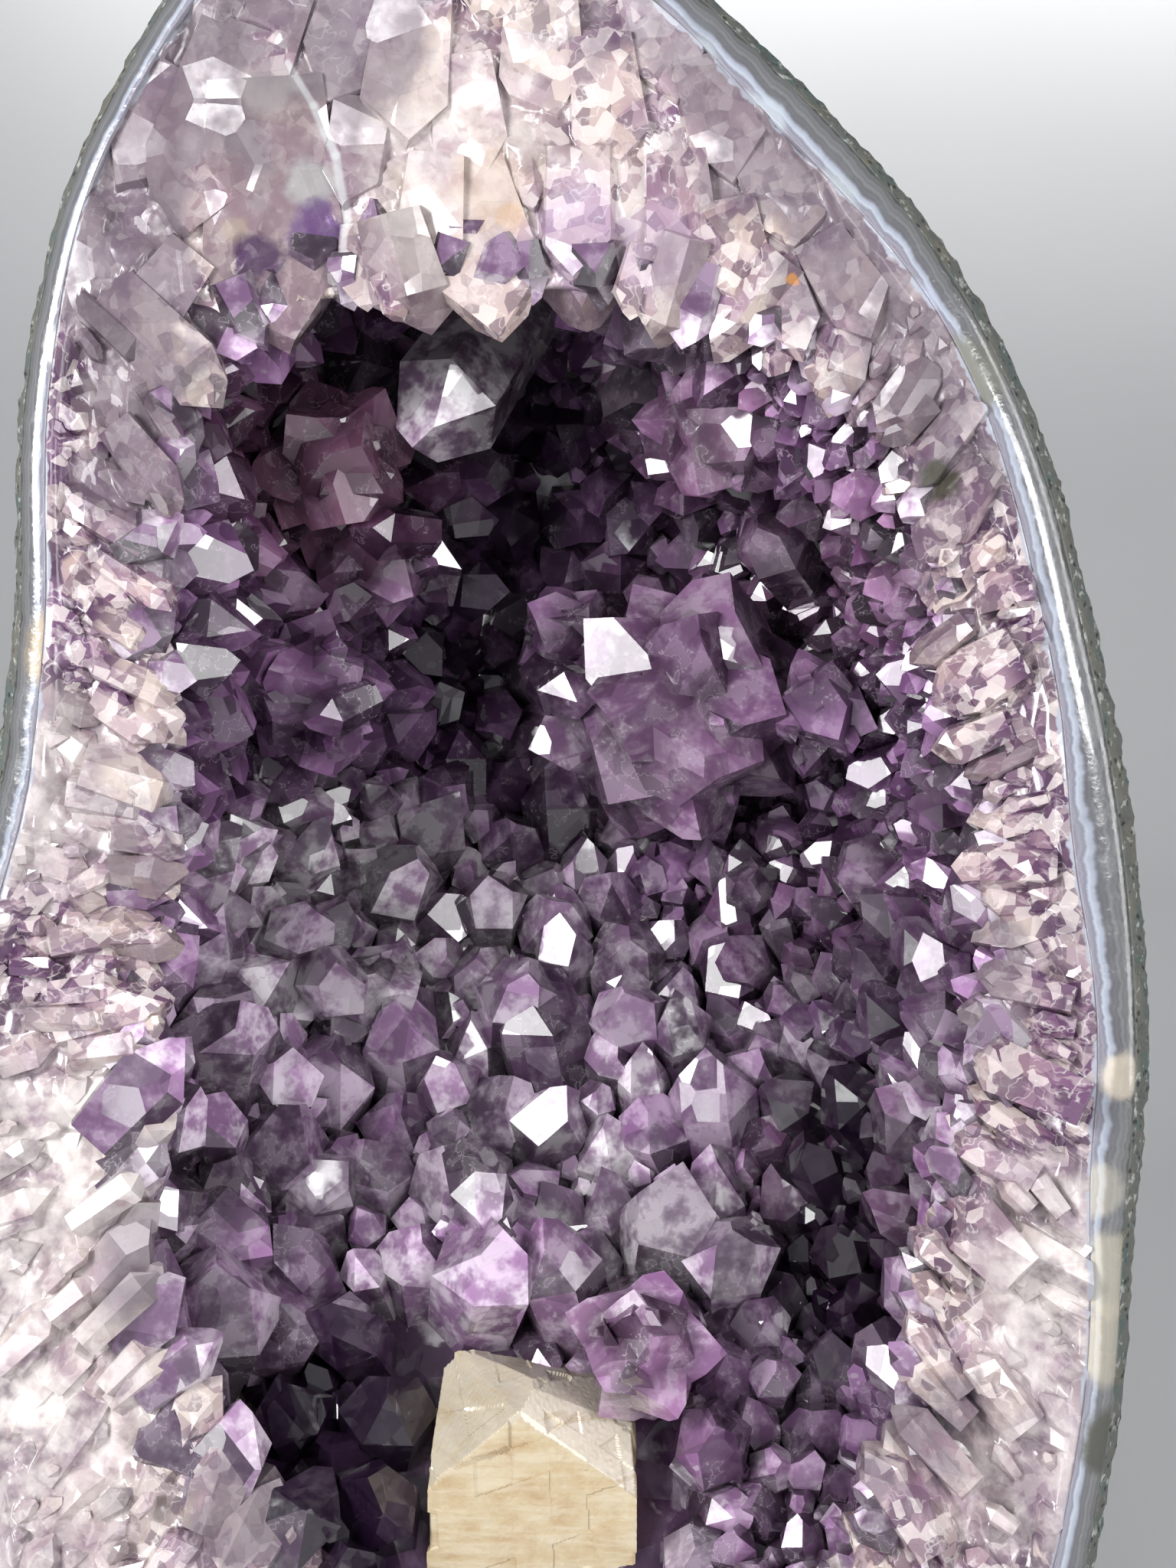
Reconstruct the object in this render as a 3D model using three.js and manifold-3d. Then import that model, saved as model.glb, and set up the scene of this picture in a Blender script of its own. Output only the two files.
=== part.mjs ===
// Amethyst cathedral geode: an arched half of a hollow nodule that stands on its sawn base.
// Lengths are in millimetres, +Z is up, and the polished opening faces -Y.
// From the outside in: a basalt rind, a band of grey agate, and a crust of quartz whose inner
// face is a druse of amethyst points, with one calcite crystal that grew on its floor.
import * as THREE from "three";
import { ParametricGeometry } from "three/addons/geometries/ParametricGeometry.js";
import { ConvexGeometry } from "three/addons/geometries/ConvexGeometry.js";
import { ConvexHull } from "three/addons/math/ConvexHull.js";
import { mergeVertices } from "three/addons/utils/BufferGeometryUtils.js";
import Module from "manifold-3d";

const wasm = await Module();
wasm.setup();

// Driving dimensions of the nodule
const MIDDLE_HEIGHT = 160; // of the middle that all radii are measured from, up the cut face
const BODY_DEPTH = 150; // from the cut face to the back
const LEAN = THREE.MathUtils.degToRad(6); // of the cut face, backwards
const RIM_ROUND = 9; // radius of the polished edge
const RIND = 4;
const RIND_AT_BACK = 6.5;
const AGATE = 6.2;
const GAP = 0.3; // between one layer and the next

// Radii of the cut face's outline, one every 15 degrees from +X, anticlockwise seen from the front.
// Those under the base belong to the part of the nodule that was sawn off.
const OUTLINE = [
  105, 105, 110, 122, 138, 157, 183, 196, 172, 143, 119, 110,
  112, 122, 138, 160, 190, 200, 199, 196, 173, 142, 120, 110,
];
// The same for the hollow's mouth, at the tips of the crystals that line it.
const MOUTH = [
  71, 72, 74, 86, 99, 103, 104, 107, 114, 98, 80, 69,
  69, 74, 83, 99, 112, 128, 132, 130, 112, 85, 78, 74,
];

// The hollow behind the mouth
const HOLLOW_DEPTH = 112;
const HOLLOW_RISE = 45; // of its middle, from the mouth to the back
const FLOOR_HEIGHT = 24;
const WALL = 31; // rind, agate and quartz together, at the sides
const ROOF_EXTRA = 30; // more quartz over the hollow, under the peak
const MOUTH_LENGTH = 22; // over which the mouth opens out into the hollow
const MOUTH_POINTS = 8; // how far the mouth's crystals stand in from the wall that they grow on

// Mesh fineness
const ROUND_STEPS = 40;
const BACK_STEPS = 6;
const EDGE_STEPS = 3;
const FORWARD = 14; // how far a solid that is cut off at the face runs past it

// Crystals
const POINT_SPACING = 12; // least distance between the tips on the hollow's wall
const BOSS_SPACING = 9.5;
const POINT_HEIGHT = 0.75; // of its spacing
const ROOT = 14; // how far bosses and large crystals reach into the wall
const DARTS = 5000; // tried when tips are scattered over a surface
const FACE_SLOPE = Math.tan(THREE.MathUtils.degToRad(51.8)); // of quartz's end faces
const HEX = 6;

// Bosses of crystals that stand out of the hollow's wall: across, up the face, stand, radius
const BOSSES = [
  [-47, 247, 30, 15],
  [-41, 226, 26, 13],
  [-54, 200, 22, 15],
  [20, 200, 34, 25],
  [-3, 212, 30, 11],
  [48, 197, 24, 13],
  [31, 250, 32, 17],
  [16, 78, 12, 14],
  [-46, 136, 10, 14],
  [-18, 93, 8, 12],
];
// Pockets that open off the hollow: across, up the face, deep, radius
const POCKETS = [[-40, 60, 40, 21]];
// Single large crystals: across, up the face, stand, radius, and the way that each points
const LARGE_POINTS = [
  [-23, 252, 42, 11.5, [0.25, -0.15, -1]],
  [37, 231, 30, 8, [-0.3, 0.3, -1]],
  [34, 161, 14, 6.5, [-0.1, 0.15, -1]],
  [56, 166, 14, 7.5, [-0.5, 0.2, -0.85]],
  [-8, 152, 10, 9, [0.05, 0.6, -0.8]],
  [-23, 141, 10, 8.5, [-0.1, 0.45, -0.88]],
  [8, 146, 10, 9, [0.1, 0.4, -0.9]],
  [-56, 76, 12, 12.5, [0.75, 0.2, -0.65]],
  [-66, 92, 14, 11, [0.8, -0.1, -0.6]],
];

// The calcite crystal: a stout prism with a slanting top
const CALCITE_FOOT = [-5, 24, 27]; // across, up the face, deep
const CALCITE_WIDTH = 38;
const CALCITE_DEPTH = 27;
const CALCITE_HEIGHT = 47.5;
const CALCITE_TURN = THREE.MathUtils.degToRad(8);

const TURN = 2 * Math.PI;
const UP = new THREE.Vector3(0, 1, 0); // as three.js draws its cylinders
const ACROSS = new THREE.Vector3(1, 0, 0);
const UP_FACE = new THREE.Vector3(0, Math.sin(LEAN), Math.cos(LEAN));
const INTO_FACE = new THREE.Vector3(0, Math.cos(LEAN), -Math.sin(LEAN));

// Repeatable scatter: the same number from 0 to 1 for the same pair of counters
function scatter(i, k) {
  const s = Math.sin(i * 12.9898 + k * 78.233) * 43758.5453;
  return s - Math.floor(s);
}

// A point from how far it is across, up and into the cut face
function place(across, up, deep) {
  return new THREE.Vector3()
    .addScaledVector(ACROSS, across)
    .addScaledVector(UP_FACE, up)
    .addScaledVector(INTO_FACE, deep);
}

// Radius at an angle, by a Catmull-Rom curve through evenly spaced radii
function radiusAt(radii, angle) {
  const n = radii.length;
  const t = ((((angle / TURN) % 1) + 1) % 1) * n;
  const i = Math.floor(t);
  const f = t - i;
  const [a, b, c, d] = [-1, 0, 1, 2].map((k) => radii[(i + k + n) % n]);
  return b + 0.5 * f * (c - a + f * (2 * a - 5 * b + 4 * c - d + f * (3 * (b - c) + d - a)));
}

// Slow waves of the agate's inner side round the nodule
function agateWave(angle) {
  return 1.3 * Math.cos(angle) + 0.7 * Math.sin(5 * angle + 1) + 0.5 * Math.sin(11 * angle);
}

// Lumps of the natural rock surface at a point: a sum of crossed waves
function rockLumps(p) {
  const wave = (x, y, z, long) => Math.sin((x * p.x + y * p.y + z * p.z) / long);
  return 2 * wave(1, 0.4, 0.3, 19) * wave(-0.3, 0.5, 1, 16) + 1.2 * wave(0.2, 1, -0.6, 11);
}

function smooth(t) {
  const c = THREE.MathUtils.clamp(t, 0, 1);
  return c * c * (3 - 2 * c);
}

// Share of the full radius, and depth share, along a meridian from the rim (0) to the back (1)
function meridian(t) {
  const a = (t * Math.PI) / 2;
  return [Math.max(Math.cos(a), 0) ** 0.82, Math.sin(a) ** 0.88];
}

// A three.js geometry as a solid that can be joined and cut
function solid(geometry) {
  const bare = geometry.clone();
  for (const name of ["normal", "uv"]) bare.deleteAttribute(name);
  const merged = mergeVertices(bare, 1e-4);
  const corners = [];
  for (let i = 0; i < merged.index.count; i += 3) {
    const [a, b, c] = [0, 1, 2].map((k) => merged.index.getX(i + k));
    if (a !== b && b !== c && c !== a) corners.push(a, b, c);
  }
  return new wasm.Manifold(
    new wasm.Mesh({
      numProp: 3,
      vertProperties: merged.attributes.position.array,
      triVerts: new Uint32Array(corners),
    }),
  );
}

// A closed surface of rings. ring(row, angle) gives its points, which meet in one at either end.
function ringedSolid(ring, rows) {
  const geometry = new ParametricGeometry(
    (u, v, target) => target.copy(ring(Math.round(v * rows), -u * TURN)),
    ROUND_STEPS,
    rows,
  );
  return solid(geometry);
}

// The whole nodule: flat cut face, rounded polished edge, natural back
function nodule() {
  const rows = 1 + EDGE_STEPS + BACK_STEPS;
  return ringedSolid((row, angle) => {
    const radius = radiusAt(OUTLINE, angle);
    let [out, deep] = [0, 0];
    if (row > 0 && row <= 1 + EDGE_STEPS) {
      const a = ((row - 1) / EDGE_STEPS) * (Math.PI / 2);
      out = radius - RIM_ROUND + RIM_ROUND * Math.sin(a);
      deep = RIM_ROUND - RIM_ROUND * Math.cos(a);
    } else if (row > 0) {
      const [share, depth] = meridian((row - 1 - EDGE_STEPS) / BACK_STEPS);
      out = radius * share;
      deep = RIM_ROUND + (BODY_DEPTH - RIM_ROUND) * depth;
    }
    const p = place(out * Math.cos(angle), MIDDLE_HEIGHT + out * Math.sin(angle), deep);
    const natural = smooth((deep - RIM_ROUND) / 14);
    if (natural === 0) return p;
    const middle = place(0, MIDDLE_HEIGHT, 0.4 * BODY_DEPTH);
    return p.addScaledVector(p.clone().sub(middle).normalize(), natural * rockLumps(p));
  }, rows);
}

// What lies inside one layer, carried forward past the cut face. inset(angle, t) is how far in its side is,
// with t from 0 at the rim to 1 at the back.
function core(inset) {
  const rows = 2 + BACK_STEPS;
  return ringedSolid((row, angle) => {
    if (row === 0) return place(0, MIDDLE_HEIGHT, -FORWARD);
    const t = Math.max(row - 2, 0) / BACK_STEPS;
    const [share, depth] = meridian(t);
    const out = (radiusAt(OUTLINE, angle) - inset(angle, t)) * share;
    const deep = row === 1 ? -FORWARD : RIM_ROUND + (BODY_DEPTH - inset(angle, t) - RIM_ROUND) * depth;
    return place(out * Math.cos(angle), MIDDLE_HEIGHT + out * Math.sin(angle), deep);
  }, rows);
}

const rindThickness = (t) => THREE.MathUtils.lerp(RIND, RIND_AT_BACK, smooth(2 * t));
const insideRind = (angle, t) => rindThickness(t);
const insideAgate = (angle, t) => rindThickness(t) + AGATE + agateWave(angle) * (1 - smooth(2 * t));

// The hollow's half width at an angle and depth
function hollowRadius(angle, deep) {
  const mouth = radiusAt(MOUTH, angle) + MOUTH_POINTS;
  const rise = Math.max(Math.sin(angle), 0);
  let inner = radiusAt(OUTLINE, angle) - WALL - ROOF_EXTRA * rise ** 4;
  if (Math.sin(angle) < 0) inner = Math.min(inner, (MIDDLE_HEIGHT - FLOOR_HEIGHT) / -Math.sin(angle));
  const wide = THREE.MathUtils.lerp(mouth, inner, smooth(deep / MOUTH_LENGTH));
  // The roof and sides are steep and close at the back, and the floor slopes up to it.
  const down = Math.max(-Math.sin(angle), 0) ** 0.7;
  const share = THREE.MathUtils.clamp(deep / HOLLOW_DEPTH, 0, 1);
  const closing = 1 - share ** THREE.MathUtils.lerp(2.2, 1.25, down);
  return wide * closing ** THREE.MathUtils.lerp(0.6, 0.85, down);
}

function hollowPoint(angle, deep) {
  const out = hollowRadius(angle, deep);
  const middle = MIDDLE_HEIGHT + (HOLLOW_RISE * Math.max(deep, 0)) / HOLLOW_DEPTH;
  return place(out * Math.cos(angle), middle + out * Math.sin(angle), deep);
}

// How deep the hollow's wall is behind a point of the cut face
function wallDepth(across, up) {
  let [near, far] = [0, HOLLOW_DEPTH];
  for (let i = 0; i < 20; i++) {
    const deep = (near + far) / 2;
    const rise = up - MIDDLE_HEIGHT - (HOLLOW_RISE * deep) / HOLLOW_DEPTH;
    const inside = Math.hypot(across, rise) < hollowRadius(Math.atan2(rise, across), deep);
    [near, far] = inside ? [deep, far] : [near, deep];
  }
  return near;
}

// Where the hollow's wall lies in a direction: -Z runs to the back, and the half with +Z is past the mouth.
function hollowWall(direction) {
  const angle = Math.atan2(direction.y, direction.x);
  if (direction.z < 0) return hollowPoint(angle, HOLLOW_DEPTH * (-direction.z) ** 0.9);
  const width = Math.min(2.5 * Math.sqrt(1 - direction.z ** 2), 1);
  const edge = radiusAt(MOUTH, angle) + MOUTH_POINTS;
  const deep = -FORWARD * direction.z;
  return place(edge * width * Math.cos(angle), MIDDLE_HEIGHT + edge * width * Math.sin(angle), deep);
}

// A direction spread evenly over the sphere
function dart(i) {
  const z = 2 * scatter(i, 1) - 1;
  const flat = Math.sqrt(1 - z * z);
  const angle = TURN * scatter(i, 2);
  return new THREE.Vector3(flat * Math.cos(angle), flat * Math.sin(angle), z);
}

// A closed skin of flat-faced crystals. wall(direction) is the surface that they grow on, and growth(point)
// gives how far apart they stand and how tall they are, which is below 0 where they point inwards.
function crystalSkin(wall, growth) {
  const seeds = new Map();
  for (let i = 0; i < DARTS; i++) {
    const direction = dart(i);
    const foot = wall(direction);
    const size = 0.8 + 0.5 * scatter(i, 3);
    const [apart, tall] = growth(foot).map((length) => length * size);
    const free = [...seeds.values()].every((s) => s.foot.distanceTo(foot) > 0.5 * (apart + s.apart));
    if (!free) continue;
    seeds.set(direction, { foot, apart, tall, normal: new THREE.Vector3(), number: seeds.size });
  }
  // Each face of the hull of the directions is a valley between crystals.
  const hull = new ConvexHull().setFromPoints([...seeds.keys()]);
  const valleys = new Map(hull.faces.map((face, k) => [face, seeds.size + k]));
  const points = [];
  const corners = [];
  for (const face of hull.faces) {
    const around = [];
    let edge = face.edge;
    do {
      around.push(seeds.get(edge.tail().point));
      corners.push(around.at(-1).number, valleys.get(edge.twin.face), valleys.get(face));
      edge = edge.next;
    } while (edge !== face.edge);
    const [a, b, c] = around.map((seed) => seed.foot);
    const normal = b.clone().sub(a).cross(c.clone().sub(a));
    around.forEach((seed) => seed.normal.add(normal));
    const middle = around.reduce((sum, seed) => sum.add(seed.foot), new THREE.Vector3());
    points[valleys.get(face)] = middle.divideScalar(around.length);
  }
  for (const { foot, tall, normal, number } of seeds.values()) {
    const lean = new THREE.Vector3(scatter(number, 4), scatter(number, 5), scatter(number, 6));
    const way = normal.normalize().addScaledVector(lean.subScalar(0.5), 0.5);
    points[number] = foot.clone().addScaledVector(way, tall * (0.75 + 0.6 * scatter(number, 7)));
  }
  return new THREE.BufferGeometry().setFromPoints(points).setIndex(corners);
}

function hollow() {
  const lid = [4 * FORWARD, 0];
  const wall = [POINT_SPACING, -POINT_HEIGHT * POINT_SPACING];
  return solid(crystalSkin(hollowWall, (point) => (point.dot(INTO_FACE) < -0.7 * FORWARD ? lid : wall)));
}

function pocket([across, up, deep, radius]) {
  const centre = place(across, up, deep);
  const ball = (direction) => centre.clone().addScaledVector(direction, radius);
  return solid(crystalSkin(ball, () => [POINT_SPACING, -POINT_HEIGHT * POINT_SPACING]));
}

// A quartz point: a six-sided prism whose end has three large faces and three small ones
function quartzPoint({ at, along, radius, tall, root, spin }) {
  const apothem = radius * Math.cos(Math.PI / HEX);
  const shoulder = tall - FACE_SLOPE * apothem;
  const ring = (around, width, height) =>
    new THREE.Vector3(width * Math.cos(around * TURN), height, width * Math.sin(around * TURN));
  const points = [new THREE.Vector3(0, tall, 0)];
  for (let i = 0; i < HEX; i++) {
    points.push(ring((i + 0.5) / HEX, radius, shoulder), ring((i + 0.5) / HEX, 0.8 * radius, -root));
    if (i % 2 === 0) points.push(ring(i / HEX, apothem, tall - 0.5 * FACE_SLOPE * apothem));
  }
  const turn = new THREE.Quaternion().setFromUnitVectors(UP, along);
  const own = new THREE.Quaternion().setFromAxisAngle(UP, spin);
  const crystal = new ConvexGeometry(points).applyQuaternion(turn.multiply(own));
  return solid(crystal.translate(...at.toArray()));
}

// A boss is a ball of crystals on a stem from the wall.
function boss([across, up, stand, radius]) {
  const deep = wallDepth(across, up) - stand;
  const centre = place(across, up, deep);
  const shaft = new THREE.CylinderGeometry(0.7 * radius, radius, stand + ROOT, 6)
    .applyQuaternion(new THREE.Quaternion().setFromUnitVectors(UP, INTO_FACE))
    .translate(...place(across, up, deep + (stand + ROOT) / 2).toArray());
  const ball = (direction) => centre.clone().addScaledVector(direction, 0.85 * radius);
  return [solid(crystalSkin(ball, () => [BOSS_SPACING, POINT_HEIGHT * BOSS_SPACING])), solid(shaft)];
}

function largePoint([across, up, stand, radius, way], index) {
  const [x, y, z] = way;
  const along = place(x, y, z).normalize();
  const at = place(across, up, wallDepth(across, up) - stand);
  return quartzPoint({ at, along, radius, tall: radius, root: stand + ROOT, spin: index });
}

// The calcite's solid, with its faces moved out by at least grow. Its corners are shares of its half width,
// half depth and height, with the foot at -0.5 and the top at 0.5.
function calcite(grow) {
  const corners = [
    [-1, -0.7, -0.5], [0.9, -1, -0.5], [1, 1, -0.5], [-0.8, 1, -0.5],
    [-1, -0.7, 0.2], [-0.25, -0.9, 0.43], [0.9, -1, 0.12],
    [0.9, -0.2, 0.3], [1, 1, 0.38], [-0.8, 1, 0.5], [-0.1, -0.3, 0.5],
  ].map((corner) => new THREE.Vector3(...corner));
  const larger = 1 + grow / (0.35 * CALCITE_DEPTH);
  const crystal = new ConvexGeometry(corners)
    .scale((larger * CALCITE_WIDTH) / 2, (larger * CALCITE_DEPTH) / 2, larger * CALCITE_HEIGHT)
    .rotateZ(CALCITE_TURN);
  const [across, up, deep] = CALCITE_FOOT;
  const middle = place(across, up, deep).setZ(place(across, up, deep).z + CALCITE_HEIGHT / 2);
  return solid(crystal.translate(...middle.toArray()));
}

// The largest body of a solid, without loose crumbs or pockets sealed between crystals
function largest(made) {
  return made.decompose().reduce((most, body) => (body.volume() > most.volume() ? body : most));
}

// A box that holds everything above the sawn base
function aboveBase() {
  const size = 4 * Math.max(...OUTLINE);
  return solid(new THREE.BoxGeometry(size, size, size).translate(0, 0, size / 2));
}

function meshOf(name, made, material) {
  const { vertProperties, triVerts, numProp } = made.getMesh();
  const geometry = new THREE.BufferGeometry()
    .setAttribute("position", new THREE.BufferAttribute(new Float32Array(vertProperties), numProp))
    .setIndex(new THREE.BufferAttribute(triVerts, 1));
  geometry.computeVertexNormals();
  const mesh = new THREE.Mesh(geometry, material);
  mesh.name = name;
  return mesh;
}

const finishes = {
  rind: new THREE.MeshStandardMaterial({ color: 0x4a4c46, roughness: 0.9 }),
  agate: new THREE.MeshStandardMaterial({ color: 0xb9bbc3, roughness: 0.15 }),
  amethyst: new THREE.MeshStandardMaterial({ color: 0x6b4a7d, roughness: 0.12 }),
  calcite: new THREE.MeshStandardMaterial({ color: 0xeadfbe, roughness: 0.35 }),
};

const sawn = nodule().intersect(aboveBase());
const rind = sawn.subtract(core(insideRind));
const agate = sawn
  .intersect(core((angle, t) => insideRind(angle, t) + GAP))
  .subtract(core(insideAgate));
const quartz = sawn.intersect(core((angle, t) => insideAgate(angle, t) + GAP));
const grown = wasm.Manifold.union([...BOSSES.flatMap(boss), ...LARGE_POINTS.map(largePoint)]);
const open = wasm.Manifold.union([hollow(), ...POCKETS.map(pocket)]);
const druse = quartz.subtract(open).add(grown.intersect(quartz));
const crust = largest(druse.subtract(calcite(GAP)));

const geode = new THREE.Group();
geode.add(
  meshOf("basalt_rind", rind, finishes.rind),
  meshOf("agate_band", agate, finishes.agate),
  meshOf("amethyst_crust", crust, finishes.amethyst),
  meshOf("calcite_crystal", calcite(0), finishes.calcite),
);

// The origin is under the middle of the whole geode.
const bounds = new THREE.Box3().setFromObject(geode);
const middle = bounds.getCenter(new THREE.Vector3());
geode.position.set(-middle.x, -middle.y, -bounds.min.z);

export default geode;
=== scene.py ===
import bpy
import numpy as np
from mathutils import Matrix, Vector


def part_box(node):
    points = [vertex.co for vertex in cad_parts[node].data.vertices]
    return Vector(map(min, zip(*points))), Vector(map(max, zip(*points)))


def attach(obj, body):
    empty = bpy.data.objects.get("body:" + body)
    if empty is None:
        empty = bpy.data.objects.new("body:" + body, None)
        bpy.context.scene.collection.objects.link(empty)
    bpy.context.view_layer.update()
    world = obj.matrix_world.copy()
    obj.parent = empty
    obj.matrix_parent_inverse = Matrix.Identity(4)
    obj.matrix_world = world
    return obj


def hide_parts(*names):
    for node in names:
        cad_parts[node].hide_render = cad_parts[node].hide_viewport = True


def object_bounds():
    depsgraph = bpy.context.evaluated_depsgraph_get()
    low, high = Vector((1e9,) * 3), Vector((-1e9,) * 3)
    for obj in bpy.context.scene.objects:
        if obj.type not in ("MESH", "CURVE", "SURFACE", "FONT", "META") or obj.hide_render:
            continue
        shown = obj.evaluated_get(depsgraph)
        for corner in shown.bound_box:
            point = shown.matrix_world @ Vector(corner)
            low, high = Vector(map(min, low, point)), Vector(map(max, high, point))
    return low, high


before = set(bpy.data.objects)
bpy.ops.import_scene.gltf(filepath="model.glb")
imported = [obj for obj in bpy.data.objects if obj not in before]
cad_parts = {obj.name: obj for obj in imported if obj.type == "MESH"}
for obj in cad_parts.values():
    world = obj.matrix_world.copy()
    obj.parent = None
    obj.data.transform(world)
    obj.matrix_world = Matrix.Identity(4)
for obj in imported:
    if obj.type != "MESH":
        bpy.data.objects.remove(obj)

cad_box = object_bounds()

# Shapes are worked out in millimetres in the cut face's own frame: X across, Y into the stone,
# Z up the face. The face leans back, so the finished points are turned and moved into the row's frame.
MM = 0.001
TURN = 2 * np.pi
LEAN = np.radians(6)
ACROSS_SHIFT = 6.80
FACE_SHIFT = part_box("amethyst_crust")[0][1] / MM
# How far inside the solids' box every piece stays
TRIM = 0.02

# The nodule, as in the part's source: where the outline's middle is, how deep the stone is, the radius
# that rounds the rim, how thick the rock is at the face and at the back, and how thick the agate is
MIDDLE_HEIGHT = 160
BODY_DEPTH = 150
RIM_ROUND = 9
RIND, RIND_AT_BACK = 4, 6.5
AGATE = 6.2
# Radii of the outline and of the hollow's mouth, evenly spaced round the middle
OUTLINE = [105, 105, 110, 122, 138, 157, 183, 196, 172, 143, 119, 110,
           112, 122, 138, 160, 190, 200, 199, 196, 173, 142, 120, 110]
MOUTH = [71, 72, 74, 86, 99, 103, 104, 107, 114, 98, 80, 69,
         69, 74, 83, 99, 112, 128, 132, 130, 112, 85, 78, 74]
# The hollow: its depth, how far its middle rises to the back, its floor, the thickness of its wall and
# roof, the depth over which the mouth widens to it, and how far the cut points stand in from the mouth
HOLLOW_DEPTH, HOLLOW_RISE = 112, 45
FLOOR_HEIGHT = 24
WALL, ROOF_EXTRA = 31, 30
MOUTH_LENGTH = 22
MOUTH_POINTS = 8
# Bosses: across, up the face, stand, radius
BOSSES = np.array([
    [-50, 247, 30, 17], [-45, 228, 26, 15], [-55, 200, 27, 17], [18, 197, 36, 29], [-5, 213, 33, 12],
    [48, 197, 24, 13], [28, 253, 32, 17], [14, 77, 26, 15], [-46, 136, 10, 14], [-18, 93, 8, 12]])
# Single large crystals: across, up, stand, radius, and the way that each points across, up and in
LARGE_POINTS = np.array([
    [-29, 257, 42, 12.5, 0.25, -0.15, -1], [37, 231, 30, 8, -0.3, 0.3, -1],
    [34, 161, 14, 6.5, -0.1, 0.15, -1], [56, 166, 14, 7.5, -0.5, 0.2, -0.85],
    [-8, 152, 10, 9, 0.05, 0.6, -0.8], [-23, 141, 10, 8.5, -0.1, 0.45, -0.88],
    [8, 146, 10, 9, 0.1, 0.4, -0.9], [-56, 76, 12, 12.5, 0.75, 0.2, -0.65],
    [-66, 92, 14, 11, 0.8, -0.1, -0.6]])
# Large crystals that the cut face runs through, at the mouth: where each tip is across and up, its depth,
# its radius, how far it leans across, how clear it is, and its tone from dark purple (0) to milky (1)
CUT_POINTS = np.array([
    [-72, 281, 5, 13, -0.35, 0.75, 0.25], [-52.5, 261, 6, 15.5, 0.05, 1, 0.55],
    [-40, 285, 6, 7, -0.1, 0.8, 0.35], [-36, 268, 2, 5, 0.1, 0.7, 0.95], [-26, 271, 3, 8, -0.1, 0.3, 1],
    [-12.5, 262.5, 4, 11, 0.2, 0.2, 0.97], [2, 272, 5, 8, 0, 0.5, 0.62],
    [11, 266.5, 3, 4.2, -0.25, 0.6, 0.9], [22, 271, 4, 8, 0.1, 0.3, 0.66],
    [33, 266, 4, 7, 0.2, 0.4, 0.75], [43, 259, 4, 6, 0.35, 0.4, 0.85], [-30, 297, 5, 9, -0.1, 0.1, 0.93],
    [-17, 289, 5, 8, 0.1, 0.1, 0.98], [-5, 301, 5, 9, 0, 0.1, 0.9], [8, 292, 5, 8, 0.1, 0.1, 0.86],
    [20, 303, 5, 9, 0.2, 0.1, 0.84], [31, 289, 5, 8, 0.3, 0.2, 0.8], [44, 278, 5, 8, 0.5, 0.2, 0.7],
    [-14, 317, 5, 9, -0.1, 0.1, 0.88], [8, 321, 5, 9, 0.1, 0.1, 0.85], [-44, 304, 5, 9, -0.3, 0.5, 0.2],
    [-62, 300, 5, 9, -0.4, 0.7, 0.4], [-82, 262, 4, 7, -0.8, 0.6, 0.5], [56, 262, 4, 7, 0.6, 0.4, 0.75],
    [-83, 290, 5, 8, -0.6, 0.6, 0.3]])
# Areas of the hollow as the camera sees them on the cut face: across, up, radius, how dark, pale and red.
# The darkness is painted shade in the hollow's voids and recesses, and the paleness is partly the crystals'
# milky colour and partly painted light on the lit floor and lumps
HOLLOW_AREAS = np.array([
    [-7, 248, 11, 1, 0, 0], [-12, 227, 13, 1, 0, 0], [-20, 201, 11, 1, 0, 0], [-22, 214, 8, 0.5, 0, 0],
    [-44, 240, 25, 0.3, 0, 1], [-23.5, 253, 12, -1, 1, 0.1], [-60, 250, 12, 0.4, 0, 0.4],
    [30, 244, 12, 0.2, 0, 0.2], [66, 165, 22, 0.3, 0, 0.1], [63, 130, 24, 0.35, 0, 0],
    [49, 120, 14, 0.4, 0, 0.1], [48, 92, 16, 0.6, 0, 0.1], [51, 96, 20, 0.4, 0, 0.1],
    [-32, 50, 20, 1, 0, 0], [-37, 66, 16, 1, 0, 0], [-44, 50, 14, 1, 0, 0], [6, 214, 12, -0.5, 0, 0],
    [56, 150, 16, 0.3, 0, 0], [58, 70, 16, 0.3, 0, 0], [-48, 158, 24, -0.5, 0.7, 0],
    [-58, 138, 22, -0.5, 0.5, 0], [-30, 146, 18, -0.4, 0.7, 0], [26, 212, 14, -0.5, 0, 0],
    [21, 250, 18, 0, 0.15, 0.3], [18, 200, 29, -0.6, 0.25, 0.2], [50, 222, 22, 0.1, 0.1, 0.4],
    [-54, 202, 18, 0.3, 0, 0.1], [-30, 160, 24, -0.2, 1, 0.1], [2, 124, 30, 0, 0.7, 0],
    [-40, 150, 22, -0.2, 1, 0], [-40, 60, 20, 1, 0, 0], [-58, 82, 18, 0.35, 0, 0.1],
    [54, 108, 24, 0.35, 0, 0.3], [11, 78, 15, 0, 0.2, 0.3], [40, 55, 22, 0.2, 0.3, 0.1],
    [40, 158, 18, 0.15, 0.1, 0.2], [0, 160, 18, 0, 0.4, 0], [-46, 108, 18, 0.05, 0.4, 0],
    [5, 100, 18, 0, 0.6, 0], [-62, 165, 14, 0, 0.3, 0.2]])
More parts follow.
